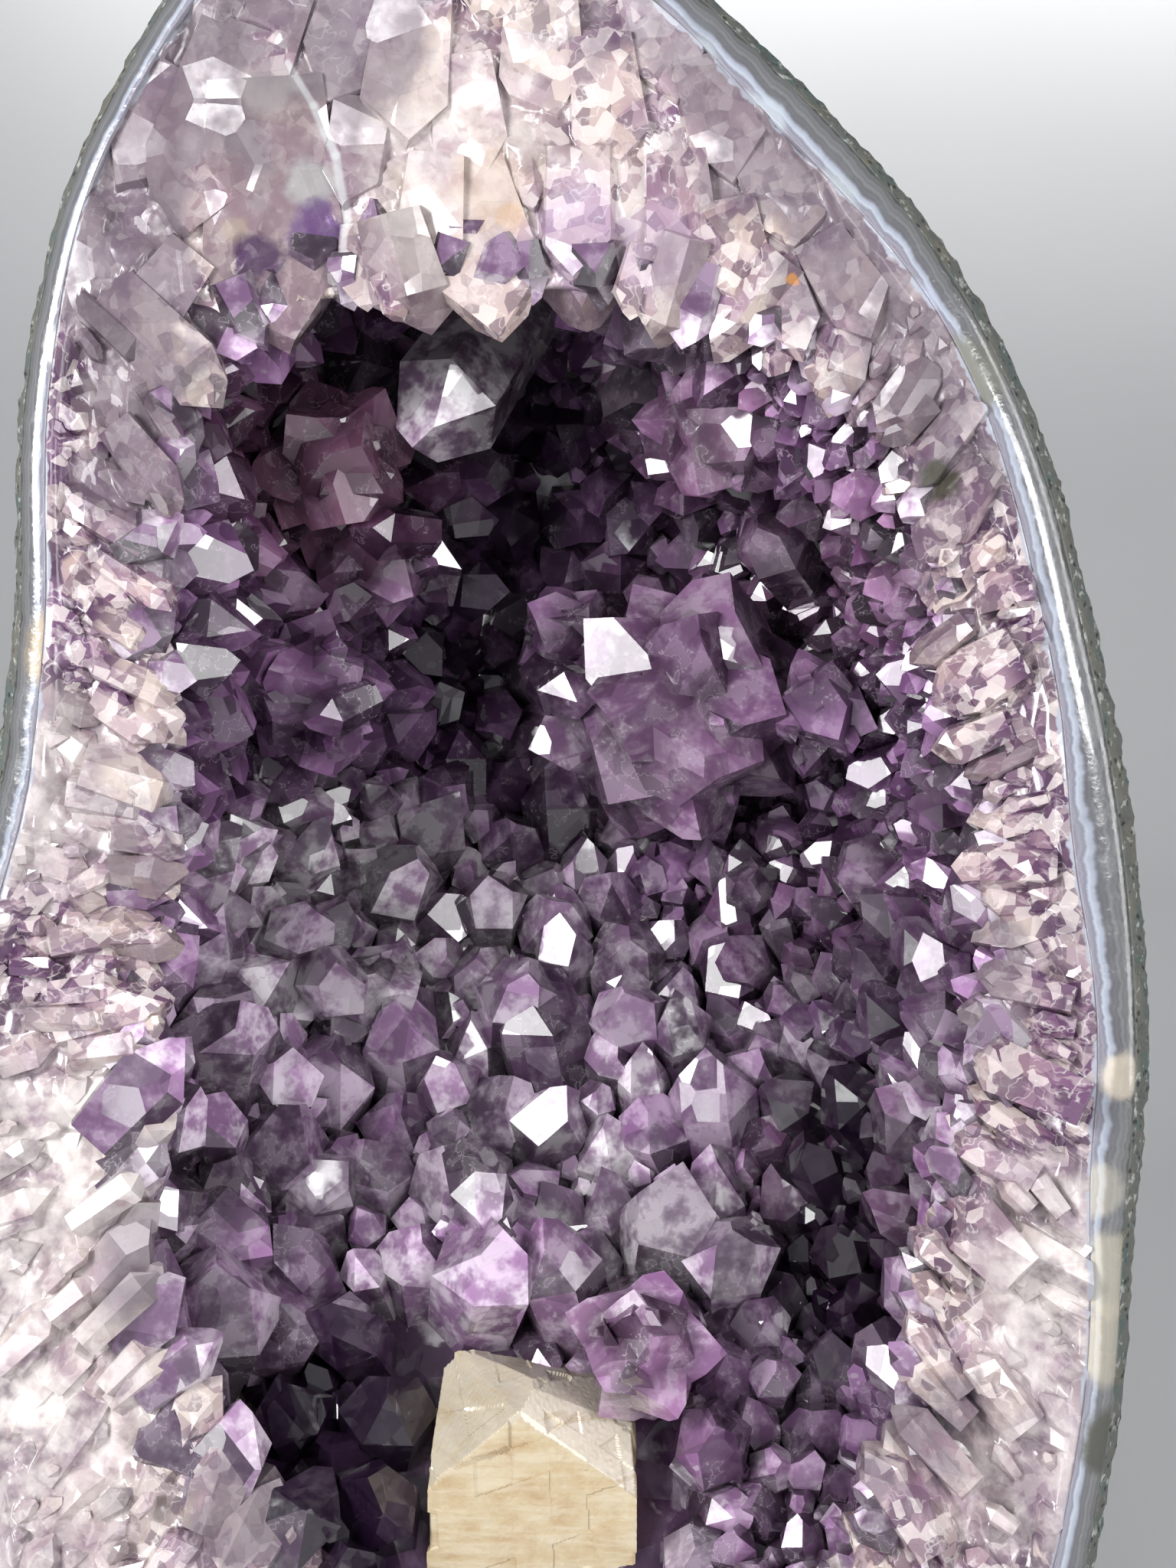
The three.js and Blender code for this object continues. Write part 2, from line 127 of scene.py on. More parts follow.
# Areas of the rim on the cut face: across, up, radius, how dark, how milky. The milky areas at the lower
# left, near -98, 95 and -96, 50 and -84, 118, are partly milky quartz and partly a painted glare, and the
# one at -54, 300 is partly a painted sheen on the large clear crystal
RIM_AREAS = np.array([
    [-80, 292, 15, 1.3, 0], [-82, 274, 14, 1.2, 0], [-70, 316, 12, 1.3, 0], [-39, 318, 15, 1.4, 0],
    [-60, 338, 20, 0.9, 0], [-40, 340, 18, 0.9, 0], [-80, 226, 10, 0.6, 0], [-72, 240, 12, 0.5, 0],
    [-66, 262, 12, 0.5, 0], [-76, 170, 12, 0.5, 0], [88, 104, 14, 0, 0.9], [-80, 256, 12, 0.9, 0],
    [-84, 238, 8, 0.7, 0], [62, 258, 16, 0.7, 0], [52, 280, 16, 0.7, 0], [-76, 94, 13, 0.9, 0],
    [36, 306, 20, 0.75, 0], [14, 328, 24, 0.5, 0], [48, 292, 14, 0.5, 0], [28, 286, 10, 0.35, 0],
    [70, 240, 12, 0.6, 0], [40, 268, 10, 0.3, 0], [-66, 330, 14, 0.9, 0], [-80, 118, 9, 0.5, 0],
    [-57, 50, 13, 1, 0], [70, 72, 11, 0.7, 0], [74, 150, 14, 0.7, 0], [76, 186, 12, 0.4, 0],
    [66, 132, 14, 0.4, 0], [60, 60, 14, 0.5, 0], [-98, 95, 42, 0, 1], [-96, 50, 24, 0, 0.6],
    [-84, 118, 16, 0, 0.5], [88, 88, 14, 0, 0.9], [-22, 300, 20, 0, 0.7], [-20, 280, 14, 0, 0.5],
    [12, 304, 24, 0, 0.15], [-96, 180, 20, 0, 0.8], [84, 60, 18, 0, 0.7], [-54, 300, 12, -0.9, 0.3]])
# Crystals whose faces send the window's light to the front: across and up as seen on the cut face, radius
BRIGHT_POINTS = np.array([
    [14.6, 248, 6.5], [-5, 262, 3], [-33, 228, 5.5], [-63, 230, 4.5], [-63.5, 212.5, 4.5],
    [-42.5, 195, 4.5], [1, 199, 6], [-4.5, 191.5, 5.5], [-41, 177, 3.5], [-43, 163.5, 4.5], [-27, 163, 5],
    [-30, 153.5, 4.5], [-18, 152, 5], [-69, 157.5, 4], [-62.5, 157.5, 4.5], [6.5, 150.5, 3],
    [11.5, 149, 4.5], [19, 148.5, 3.5], [-19.5, 142.5, 6], [58.5, 169.5, 5], [62, 166, 5.5],
    [35.5, 141, 4.5], [42.5, 141.5, 3], [-59, 107.5, 6], [-65, 101, 3.5], [-14, 108, 6], [-52.5, 82, 9],
    [-36, 111, 4], [42.5, 92.5, 3], [37, 81, 4], [-2, 79, 3.5], [46, 106, 3], [72, 123, 3.5],
    [-55.5, 253, 3.5], [52, 136, 3], [26, 131, 3.5], [-4, 129, 3.5], [33, 118, 3.5], [64, 146, 3.5],
    [-71, 181, 3.5], [44, 214, 4], [57, 214, 3.5], [30, 222, 4], [5, 226, 3.5]])
# Where the calcite stands, half its height, and its turn
CALCITE_FOOT = np.array([-5, 27, 24])
CALCITE_HALF = 23.75
CALCITE_TURN = np.radians(8)

random = np.random.default_rng(11)


# Shared measures

def smooth(t):
    """Eased step: 3t^2 - 2t^3, held at 0 and 1."""
    c = np.clip(t, 0, 1)
    return c * c * (3 - 2 * c)


def lerp(a, b, t):
    return a + (b - a) * t


def unit(vectors):
    return vectors / np.linalg.norm(vectors, axis=-1, keepdims=True)


def steps(count, start=0.0, stop=1.0):
    return np.linspace(start, stop, count)[:, None]


def round_turn(count):
    """Angles once round, which run clockwise as seen from the front."""
    return -np.linspace(0, TURN, count, endpoint=False)[None, :]


def radius_at(radii, angle):
    """Catmull-Rom curve through radii that are evenly spaced round the turn."""
    radii = np.asarray(radii, float)
    count = len(radii)
    t = np.mod(angle / TURN, 1) * count
    i = np.floor(t).astype(int)
    f = t - i
    a, b, c, d = (radii[(i + k) % count] for k in (-1, 0, 1, 2))
    return b + 0.5 * f * (c - a + f * (2 * a - 5 * b + 4 * c - d + f * (3 * (b - c) + d - a)))


def face_point(out, angle, deep, middle=MIDDLE_HEIGHT):
    """Polar point of the face's frame: out from the middle at an angle, and deep into the stone."""
    out, angle, deep, middle = np.broadcast_arrays(out, angle, deep, middle)
    return np.stack([out * np.cos(angle), deep, middle + out * np.sin(angle)], -1)


def on_cut_face(across, up):
    return np.stack([across, 0 * across, up], -1)


def leaned_back(points):
    """Turns the face's frame back by the lean about X."""
    x, y, z = np.moveaxis(np.asarray(points, float), -1, 0)
    return np.stack([x, y * np.cos(LEAN) + z * np.sin(LEAN), z * np.cos(LEAN) - y * np.sin(LEAN)], -1)


def to_row(points):
    """Points of the face's frame in the row's frame, in metres."""
    return (leaned_back(points) + [ACROSS_SHIFT, FACE_SHIFT, 0]) * MM


def from_row(points):
    """The inverse of to_row."""
    x, y, z = np.moveaxis(np.asarray(points, float) / MM - [ACROSS_SHIFT, FACE_SHIFT, 0], -1, 0)
    return np.stack([x, y * np.cos(LEAN) - z * np.sin(LEAN), z * np.cos(LEAN) + y * np.sin(LEAN)], -1)


def ripple(points, size, seed, waves=9):
    """Sum of sine waves in random directions whose lengths are near size, about -1 to 1."""
    rng = np.random.default_rng(seed)
    way = unit(rng.normal(size=(waves, 3))) * (TURN / size) * rng.uniform(0.6, 1.5, (waves, 1))
    shift = rng.uniform(0, TURN, waves)
    return sum(np.sin(points @ w + s) for w, s in zip(way, shift)) / (0.55 * waves)


# The camera and the windows, which the bright crystals are turned to: the picture's middle on the cut
# face, the camera's angles, distance in metres and lens, and where the windows are in metres

FRAME_MIDDLE = np.array([4.6, 0, 183])
AZIMUTH, ELEVATION, DISTANCE = np.radians(4), np.radians(7), 0.43
LENS = 55
toward_camera = np.array([
    np.sin(AZIMUTH) * np.cos(ELEVATION), -np.cos(AZIMUTH) * np.cos(ELEVATION), np.sin(ELEVATION)])
camera_place = to_row(FRAME_MIDDLE) + DISTANCE * toward_camera
WINDOWS = np.array([[-0.58, -0.74, 0.5], [0.55, -0.88, 0.48]])


# Mesh making

def new_piece(name, points, faces, flat=False):
    """A mesh object of the row's frame from points in the face's frame."""
    mesh = bpy.data.meshes.new(name)
    mesh.from_pydata(to_row(points), [], faces)
    mesh.polygons.foreach_set("use_smooth", np.full(len(mesh.polygons), not flat))
    mesh.update()
    piece = bpy.data.objects.new(name, mesh)
    bpy.context.scene.collection.objects.link(piece)
    return piece


def wrapped_rings(points):
    """Points and faces of rows of rings, closed round each ring and to one point at either end. points
    is (rows, round, 3), and the end points are the middles of the first and last rings."""
    rows, around = points.shape[:2]
    i = np.arange(around)
    j = (i + 1) % around
    start = (np.arange(rows - 1) * around)[:, None]
    quads = np.stack([start + i, start + around + i, start + around + j, start + j], -1).reshape(-1, 4)
    ends = rows * around + np.arange(2)
    first = np.stack([np.full(around, ends[0]), i, j], -1)
    last = np.stack([np.full(around, ends[1]), (rows - 1) * around + j, (rows - 1) * around + i], -1)
    closed = np.concatenate([points.reshape(-1, 3), points[[0, -1]].mean(axis=1)])
    return closed, quads.tolist() + first.tolist() + last.tolist()


def applied_boolean(piece, other, operation):
    """Joins or cuts piece by other with the solver that keeps the faces' data, and removes other."""
    cut = piece.modifiers.new("cut", "BOOLEAN")
    cut.operation = operation
    cut.solver = "MANIFOLD"
    cut.object = other
    done = bpy.data.meshes.new_from_object(piece.evaluated_get(bpy.context.evaluated_depsgraph_get()))
    piece.modifiers.clear()
    old = piece.data
    piece.data = done
    bpy.data.meshes.remove(old)
    bpy.data.objects.remove(other)


def block(low, high, row=False):
    """A box between two corners of the face's frame, or of the row's frame in metres."""
    corner = np.array([[x, y, z] for x in (0, 1) for y in (0, 1) for z in (0, 1)])
    points = np.asarray(low) + corner * (np.asarray(high) - np.asarray(low))
    faces = [(0, 1, 3, 2), (4, 6, 7, 5), (0, 4, 5, 1), (2, 3, 7, 6), (0, 2, 6, 4), (1, 5, 7, 3)]
    return new_piece("cutter", from_row(points) if row else points, faces, flat=True)


def slab(front, back):
    """A box round everything between two depths of the face's frame."""
    return block([-300, front, -100], [300, back, 500])


def trimmed(piece):
    """Cuts a piece off at the sides of the solids' box, which gives the sawn base."""
    low, high = (np.array(corner) for corner in cad_box)
    edge = TRIM * MM * np.array([1, 1, 0])
    applied_boolean(piece, block(low + edge, high - TRIM * MM, row=True), "INTERSECT")


def kept_in_quartz(piece):
    """Cuts off what stands out round and behind the quartz: its own closed shape is kept, 0.3 mm wider and
    drawn out 30 mm to the front."""
    angle = round_turn(360)
    sides = side_rows(angle, lambda a, t: inside_agate(a, t) - 0.3, steps(14, 0.97, 0))
    sides = np.concatenate([sides, sides[-1:] + np.array([0, -30, 0])])
    applied_boolean(piece, new_piece("cutter", *wrapped_rings(sides), flat=True), "INTERSECT")


def values_of(items, key, width=1, kind=np.float32):
    """One value or vector of each of a mesh's items, as an array."""
    values = np.zeros(len(items) * width, dtype=kind)
    items.foreach_get(key, values)
    return values.reshape(-1, width) if width > 1 else values


def corner_places(mesh):
    """Each face corner's place in the face's frame, and the face that it belongs to."""
    corner = values_of(mesh.loops, "vertex_index", kind=np.int32)
    sizes = values_of(mesh.polygons, "loop_total", kind=np.int32)
    return from_row(values_of(mesh.vertices, "co", 3)[corner]), np.repeat(np.arange(len(sizes)), sizes)


def set_map(mesh, u, v, name="layers"):
    """Two numbers for each face corner, as a UV map."""
    layer = mesh.uv_layers.new(name=name)
    layer.data.foreach_set("uv", np.stack([u, v], -1).astype(np.float32).ravel())


def set_look(mesh, *channels):
    """Four numbers for each face corner, which the materials read as the look's red, green, blue, alpha."""
    look = mesh.attributes.new("look", "FLOAT_COLOR", "CORNER")
    look.data.foreach_set("color", np.stack(np.broadcast_arrays(*channels), -1).astype(np.float32).ravel())


def facet_light_and_shade(mesh, face_of, tone):
    """A painted light and shade for each facet, 0 to 1: a wave over the way that it looks, shifted by its
    crystal's tone, so that the facets of one crystal come out brighter and darker as lit facets would.
    """
    normal = values_of(mesh.polygons, "normal", 3)[face_of]
    return 0.5 + 0.5 * np.sin(normal @ np.array([11.0, 17.0, 13.0]) + 40 * tone)


# The layers of the nodule

def meridian(t):
    """Shares of the full radius and depth, from the rim at 0 to the back at 1."""
    a = t * np.pi / 2
    return np.maximum(np.cos(a), 0) ** 0.82, np.sin(a) ** 0.88


def rock_lumps(points):
    """Crossed waves of the natural surface, the same as the solid's."""
    model = leaned_back(points)
    wave = lambda a, b, c, long: np.sin(model @ np.array([a, b, c]) / long)
    return 2 * wave(1, 0.4, 0.3, 19) * wave(-0.3, 0.5, 1, 16) + 1.2 * wave(0.2, 1, -0.6, 11)


def agate_wave(angle):
    """How the agate's thickness varies round the rim: three sine waves."""
    return 1.3 * np.cos(angle) + 0.7 * np.sin(5 * angle + 1) + 0.5 * np.sin(11 * angle)


def rind_thickness(t):
    """Eased from the face's thickness to the back's over the first half of the way."""
    return lerp(RIND, RIND_AT_BACK, smooth(2 * t))


def agate_thickness(angle, t):
    return AGATE + agate_wave(angle) * (1 - smooth(2 * t))


def inside_rind(angle, t):
    return rind_thickness(t)


def inside_agate(angle, t):
    return rind_thickness(t) + agate_thickness(angle, t)


def edge_depth(inset):
    """Depth of the polished face at a distance in from the outline: a quarter circle, then flat."""
    e = np.clip(inset, 0, RIM_ROUND)
    return RIM_ROUND - np.sqrt(RIM_ROUND ** 2 - (RIM_ROUND - e) ** 2)


def side_rows(angle, inset_of, t):
    """Rings of a layer's surface behind the rim, at shares t of the way to the back."""
    share, depth = meridian(t)
    inset = inset_of(angle, t)
    out = (radius_at(OUTLINE, angle) - inset) * share
    return face_point(out, angle, RIM_ROUND + (BODY_DEPTH - inset - RIM_ROUND) * depth)


def face_rows(angle, insets):
    """Rings of the polished face at distances in from the outline."""
    return face_point(radius_at(OUTLINE, angle) - insets, angle, edge_depth(insets))


def basalt_skin():
    """The rind: its inner side, the strip at the rim, and the natural back. Fine ripples roughen it, and
    where a broader ripple is high they sink it into pits. It stays 1 mm thick at least."""
    angle = round_turn(620)
    inner = side_rows(angle, inside_rind, steps(8, 0.98, 0))
    strip = face_rows(angle, steps(8, RIND, 0.3) * np.ones_like(angle))
    back_shares = steps(120, 0.003, 0.995)
    back = side_rows(angle, lambda a, t: 0 * t, back_shares)
    outer = np.concatenate([strip, back])
    lump = smooth((outer[..., 1] - RIM_ROUND) / 14) * rock_lumps(outer)
    pit = smooth(1.6 * ripple(outer, 7, 3) - 0.5)
    rough = 0.35 * ripple(outer, 5, 1) + 0.3 * ripple(outer, 2.2, 2) - 0.5 - 1.5 * pit
    sunk = np.minimum(rough, 0) * np.minimum(np.arange(len(outer)) / 5, 1)[:, None]
    way = unit(outer - face_point(0, 0, 0.4 * BODY_DEPTH))
    room = np.concatenate([np.full((len(strip), 1), RIND), rind_thickness(back_shares)]) - 1
    outer = outer + way * np.maximum(lump + sunk, -room)[..., None]
    piece = new_piece("basalt_skin", *wrapped_rings(np.concatenate([inner, outer])[::-1]))
    trimmed(piece)
    return piece


def agate_rim():
    """The agate: its polished face between the rind and the quartz, and plain sides behind it.
    Its map runs round the rim in turns, and from the rind (0) to the quartz (1)."""
    angle = round_turn(720)
    inner = side_rows(angle, inside_agate, steps(8, 0.98, 0))
    face = face_rows(angle, RIND + agate_thickness(angle, 0) * steps(22, 1, 0))
    outer = side_rows(angle, inside_rind, steps(8, 0, 0.98))
    piece = new_piece("agate_rim", *wrapped_rings(np.concatenate([inner, face, outer])[::-1]))
    trimmed(piece)
    places, _ = corner_places(piece.data)
    angle, inset = around_face(places)
    set_map(piece.data, angle / TURN, np.clip((inset - RIND) / agate_thickness(angle, 0), 0, 1))
    return piece


def around_face(places):
    """Angle of points round the middle, and their distances in from the outline."""
    rise = places[:, 2] - MIDDLE_HEIGHT
    angle = np.arctan2(rise, places[:, 0])
    return angle, radius_at(OUTLINE, angle) - np.hypot(places[:, 0], rise)


# The hollow

def hollow_radius(angle, deep):
    """The hollow's radius at an angle and a depth: eased from the mouth's to the nodule's less its wall,
    with a flat floor and a lower roof, and then closed at the back like a dome."""
    mouth = radius_at(MOUTH, angle) + MOUTH_POINTS
    rise = np.maximum(np.sin(angle), 0)
    inner = radius_at(OUTLINE, angle) - WALL - ROOF_EXTRA * rise ** 4
    floor = (MIDDLE_HEIGHT - FLOOR_HEIGHT) / np.maximum(-np.sin(angle), 1e-6)
    inner = np.where(np.sin(angle) < 0, np.minimum(inner, floor), inner)
    wide = lerp(mouth, inner, smooth(deep / MOUTH_LENGTH))
    down = np.maximum(-np.sin(angle), 0) ** 0.7
    share = np.clip(deep / HOLLOW_DEPTH, 0, 1)
    closing = 1 - share ** lerp(2.2, 1.25, down)
    return wide * closing ** lerp(0.6, 0.85, down)


def hollow_point(angle, deep):
    """Point of the hollow's wall. The middle rises steadily to the back."""
    middle = MIDDLE_HEIGHT + HOLLOW_RISE * np.maximum(deep, 0) / HOLLOW_DEPTH
    return face_point(hollow_radius(angle, deep), angle, deep, middle)


def hollow_normal(angle, deep):
    """Unit vector off the hollow's wall into the open: the cross product of its two tangents."""
    turn, step = 0.02, 0.6
    deep = np.clip(deep, step, HOLLOW_DEPTH - 2 * step)
    round_way = hollow_point(angle + turn, deep) - hollow_point(angle - turn, deep)
    back_way = hollow_point(angle, deep + step) - hollow_point(angle, deep - step)
    return unit(np.cross(round_way, back_way))


def in_open(points):
    """Whether points are inside the hollow."""
    x, deep, up = np.moveaxis(points, -1, 0)
    rise = up - MIDDLE_HEIGHT - HOLLOW_RISE * np.maximum(deep, 0) / HOLLOW_DEPTH
    inside = np.hypot(x, rise) < hollow_radius(np.arctan2(rise, x), deep)
    return inside & (deep < HOLLOW_DEPTH)


def wall_behind(points, way):
    """Where lines from points along ways leave the hollow, by halving."""
    near, far = np.zeros(len(points)), np.full(len(points), 2.0 * HOLLOW_DEPTH)
    for _ in range(20):
        half = (near + far) / 2
        inside = in_open(points + way * half[:, None])
        near, far = np.where(inside, half, near), np.where(inside, far, half)
    return points + way * near[:, None]


def column_edges():
    """Angles round the mouth where one cut crystal column meets the next, from the last before 0 on.
    Columns are broad over the hollow and at its foot, and narrow at its sides."""
    fine = np.linspace(0, TURN, 2000)
    mouth = face_point(radius_at(MOUTH, fine), fine, 0)
    run = np.concatenate([[0], np.cumsum(np.linalg.norm(np.diff(mouth, axis=0), axis=1))])
    ends = [0.0]
    while ends[-1] < run[-1]:
        angle = np.interp(ends[-1], run, fine)
        broad = lerp(7.5, 13, np.abs(np.sin(angle)) ** 3)
        ends.append(ends[-1] + broad * random.uniform(0.65, 1.4))
    ends = np.array(ends[1:])
    ends = np.interp(ends / ends[-1] * run[-1], run, fine)
    return np.concatenate([ends[-1:] - TURN, ends])


COLUMN_EDGES = column_edges()
# How deep the face sinks at the mouth, over what length, and how deep where it is rough or the large
# crystals are
GROOVE, GROOVE_LENGTH = 3.4, 15
ROUGH_DEPTH, LARGE_DEPTH = 2.4, 2.6


def face_share(places):
    """How far points are from the agate (0) to the mouth (1), and that whole distance."""
    turn, inset = around_face(places.reshape(-1, 3))
    start = RIND + agate_thickness(turn, 0)
    wide = radius_at(OUTLINE, turn) - radius_at(MOUTH, turn) - start
    return ((inset - start) / wide).reshape(places.shape[:-1]), wide.reshape(places.shape[:-1])


def roughness_at(places):
    """1 where the face is broken crystal and 0 where it is polished flat: beside the agate, and the top."""
    share, wide = face_share(places)
    x, _, z = np.moveaxis(places, -1, 0)
    flat_top = np.maximum(smooth((-12 - x) / 14) * smooth((z - 262) / 10), smooth((z - 286) / 8))
    return smooth(share * wide / 5 - 0.3) * (1 - flat_top)


def area_share(across, up, areas):
    """Each area's share at places: 1 near its middle, and down to 0 at 1.25 times its radius."""
    gap = np.hypot(across[:, None] - areas[:, 0], up[:, None] - areas[:, 1])
    return smooth(1.5 * (1 - gap / (1.25 * areas[:, 2])))


def quartz_bed():
    """The quartz between the agate and the hollow: its polished face, which sinks a little towards the
    mouth, and the hollow's wall. The crystals that the face runs through are joined to it. Its maps are the
    column's number and millimetres in from the agate, and how dark and how milky its areas are."""
    angle = round_turn(560)
    outer = side_rows(angle, inside_agate, steps(8, 0.98, 0))
    start = RIND + agate_thickness(angle, 0)
    stop = radius_at(OUTLINE, angle) - radius_at(MOUTH, angle) - MOUTH_POINTS
    insets = lerp(start, stop, steps(46))
    face = face_rows(angle, insets)
    length = GROOVE_LENGTH * lerp(1, 3, smooth((np.sin(angle) - 0.75) / 0.2))
    near_mouth = smooth(1 - (stop - insets) / length) * smooth((insets - start) / 8)
    sunk = np.maximum(ROUGH_DEPTH * roughness_at(face), LARGE_DEPTH * in_large(face))
    face[..., 1] += np.maximum(GROOVE * near_mouth, sunk) * (1 + 0.4 * ripple(face, 9, 6))
    face[..., 1] += 0.15 + 0.1 * ripple(face, 7, 8)
    deep = lerp(2 * GROOVE, HOLLOW_DEPTH, np.sin(steps(44, 0, 0.97) * np.pi / 2) ** 1.3)
    wall = hollow_point(angle, deep)
    uneven = 1 + 0.8 * ripple(wall, 11, 5)
    wall = wall - hollow_normal(angle, deep * np.ones_like(angle)) * uneven[..., None]
    piece = new_piece("quartz_bed", *wrapped_rings(np.concatenate([outer, face, wall])))
    number_faces(piece, np.zeros(len(piece.data.polygons)))
    large, small = large_rim_crystals(), rim_crystals()
    joined_cut(piece, large)
    joined_crystals(piece, small, 1 + len(large["at"]))
    kept_in_quartz(piece)
    trimmed(piece)
    cut = gathered(large, small)
    mesh = piece.data
    places, face_of = corner_places(mesh)
    owner = taken_numbers(mesh)[face_of] - 1
    turn, inset = around_face(places)
    column = np.interp(np.mod(turn, TURN), COLUMN_EDGES, np.arange(len(COLUMN_EDGES)))
    set_map(mesh, column, inset - RIND - agate_thickness(turn, 0))
    share = area_share(places[:, 0], places[:, 2], RIM_AREAS)
    set_map(mesh, share @ RIM_AREAS[:, 3], share @ RIM_AREAS[:, 4], "areas")
    reach = reach_of(cut, owner, places)
    own = owner >= 0
    past_mouth = inset - (radius_at(OUTLINE, turn) - radius_at(MOUTH, turn))
    # Painted shade: the bed's wall inside the hollow, and its crystals deeper than about 9 mm, are marked
    # to be painted nearly black.
    painted_hollow_shade = np.where(own, 0, smooth((past_mouth + 9) / 4))
    painted_hollow_shade = np.maximum(painted_hollow_shade, smooth((places[:, 1] - 9) / 8) * own)
    # Painted light and shade: each facet of the rim's crystals gets its own brightness by the way that it
    # faces.
    facet = facet_light_and_shade(mesh, face_of, cut["tone"][owner])
    tone = np.where(own, np.clip(cut["tone"][owner] + 0.45 * (facet - 0.5), 0, 1), 0.4)
    set_look(mesh, np.where(own, reach, 0), painted_hollow_shade, tone, np.where(own, cut["pale"][owner], 0))
    return piece


# Quartz points

CORNER = np.radians(30 + 60 * np.arange(6))
SMALL_FACE = np.radians([60, 180, 300])
POINT_FACES = [
    (0, 3, 9, 4, 1), (0, 1, 5, 6, 2), (0, 2, 7, 8, 3), (1, 4, 5), (2, 6, 7), (3, 8, 9),
    *[(4 + k, 10 + k, 10 + (k + 1) % 6, 4 + (k + 1) % 6) for k in range(6)], (15, 14, 13, 12, 11, 10)]
POINT_CORNERS = 16
END_SLOPE = 1.27


def crystals(at, along, radius, tall, root, pale=0.0, odd=1.0, mirror=0.0, tone=None):
    """A set of quartz points as arrays: where each stands, the way that it points, its radius, its
    height above and root below that place, how pale and how uneven it is, 1 where a large face of it is
    turned to the window or 2 where a small one is, and its tone, by chance where none is given."""
    count = len(at)
    tone = random.uniform(0, 1, count) if tone is None else tone
    rows = dict(radius=radius, tall=tall, root=root, pale=pale, odd=odd, mirror=mirror, tone=tone)
    return dict(at=at, along=unit(along), **{k: np.broadcast_to(v, count) * 1.0 for k, v in rows.items()})


def gathered(*sets):
    return {key: np.concatenate([each[key] for each in sets]) for key in sets[0]}


def axes(first, second):
    """Square axes from two directions: the first, the second's part square to it, and their cross."""
    a = unit(first)
    b = unit(second - (second * a).sum(-1, keepdims=True) * a)
    return np.stack([a, b, np.cross(a, b)], -2)


def point_corners(c):
    """Corners of quartz points, (count, 16, 3): the tip, where two large end faces meet a small one (3),
    the shoulders (6) and the root (6). Each large face is the plane through the tip and its two
    shoulders, so every face is flat, and the tip stands off the middle by chance."""
    count = len(c["at"])
    odd = c["odd"][:, None]
    flat = np.cos(np.radians(30))
    radius = c["radius"][:, None]
    slopes = 1 + odd * random.uniform(-0.2, 0.25, (count, 3))
    height = (c["tall"][:, None] - END_SLOPE * flat * radius * slopes)[:, [0, 1, 1, 2, 2, 0]]
    ring = np.stack([radius * np.cos(CORNER), radius * np.sin(CORNER), height], -1)
    low = 0.8 * radius
    foot = np.stack([low * np.cos(CORNER), low * np.sin(CORNER), 0 * height - c["root"][:, None]], -1)
    away = odd * random.uniform(0, 0.36, (count, 1)) * radius
    round_by = random.uniform(0, TURN, (count, 1))
    tip = np.stack([away * np.cos(round_by), away * np.sin(round_by), c["tall"][:, None] + 0 * away], -1)
    plane = np.cross(ring[:, [5, 1, 3]] - tip, ring[:, [0, 2, 4]] - tip)
    line = np.cross(plane, np.roll(plane, -1, axis=1))
    line *= -np.sign(line[..., 2:])
    side = np.stack([np.cos(SMALL_FACE), np.sin(SMALL_FACE), 0 * SMALL_FACE], -1)
    reach = (flat * radius - (tip * side).sum(-1)) / (line * side).sum(-1)
    share = lerp(0.6, random.uniform(0.3, 0.92, (count, 3)), odd)
    meet = tip + line * (reach * share)[..., None]
    local = np.concatenate([tip, meet, ring, foot], axis=1)
    local[..., 0] *= 1 + odd * random.uniform(-0.22, 0.12, (count, 1))
    large_face = np.cross(local[:, 6] - local[:, 0], local[:, 5] - local[:, 0])
    small_face = np.cross(local[:, 5] - local[:, 1], local[:, 4] - local[:, 1])
    looks = np.where(c["mirror"][:, None] > 1, small_face, large_face)
    looks *= np.sign(looks[:, 2:])
    mirror = c["mirror"][:, None] > 0
    up, side_way = np.array([0, 0, 1.0]), np.array([1.0, 0, 0])
    own = axes(np.where(mirror, looks, up), np.where(mirror, up, side_way))
    spin = random.normal(size=(count, 3))
    facing = np.where(mirror, halfway_to_window(c["at"]), c["along"])
    world = axes(facing, np.where(mirror, c["along"], spin))
    turned = np.einsum("nvk,nik,nij->nvj", local, own, world)
    c["along"] = np.einsum("k,nik,nij->nj", up, own, world)
    return c["at"][:, None] + turned


def halfway_to_window(at):
    """The way that a face looks when it sends a window's light to the camera: the right window's on the
    left side of the hollow, where the rim hides the other."""
    place = to_row(at)
    window = WINDOWS[(at[:, 0] < -25).astype(int)]
    half = unit(unit(camera_place - place) + unit(window - place))
    return from_row(half * MM) - from_row(np.zeros(3))


def number_faces(piece, numbers):
    layer = piece.data.attributes.new("crystal", "INT", "FACE")
    layer.data.foreach_set("value", numbers.astype(np.int32))


def taken_numbers(mesh):
    """Each face's crystal number. The attribute that held them is removed."""
    layer = mesh.attributes["crystal"]
    numbers = values_of(layer.data, "value", kind=np.int32)
    mesh.attributes.remove(layer)
    return numbers


def reach_of(c, owner, places):
    """How far up its crystal each corner is, from 0 at the foot to 1 at the tip."""
    height = ((places - c["at"][owner]) * c["along"][owner]).sum(-1)
    return np.clip(height / c["tall"][owner], 0, 1)


def grouped(centres, reach):
    """Numbers each crystal's group so that no two in a group can touch: each takes the lowest number
    that no crystal near it has taken."""
    group = np.full(len(centres), -1)
    for i, (centre, own) in enumerate(zip(centres, reach)):
        near = ((centres - centre) ** 2).sum(-1) < (own + reach) ** 2
        taken = group[near]
        group[i] = np.setdiff1d(np.arange(len(taken) + 1), taken)[0]
    return group


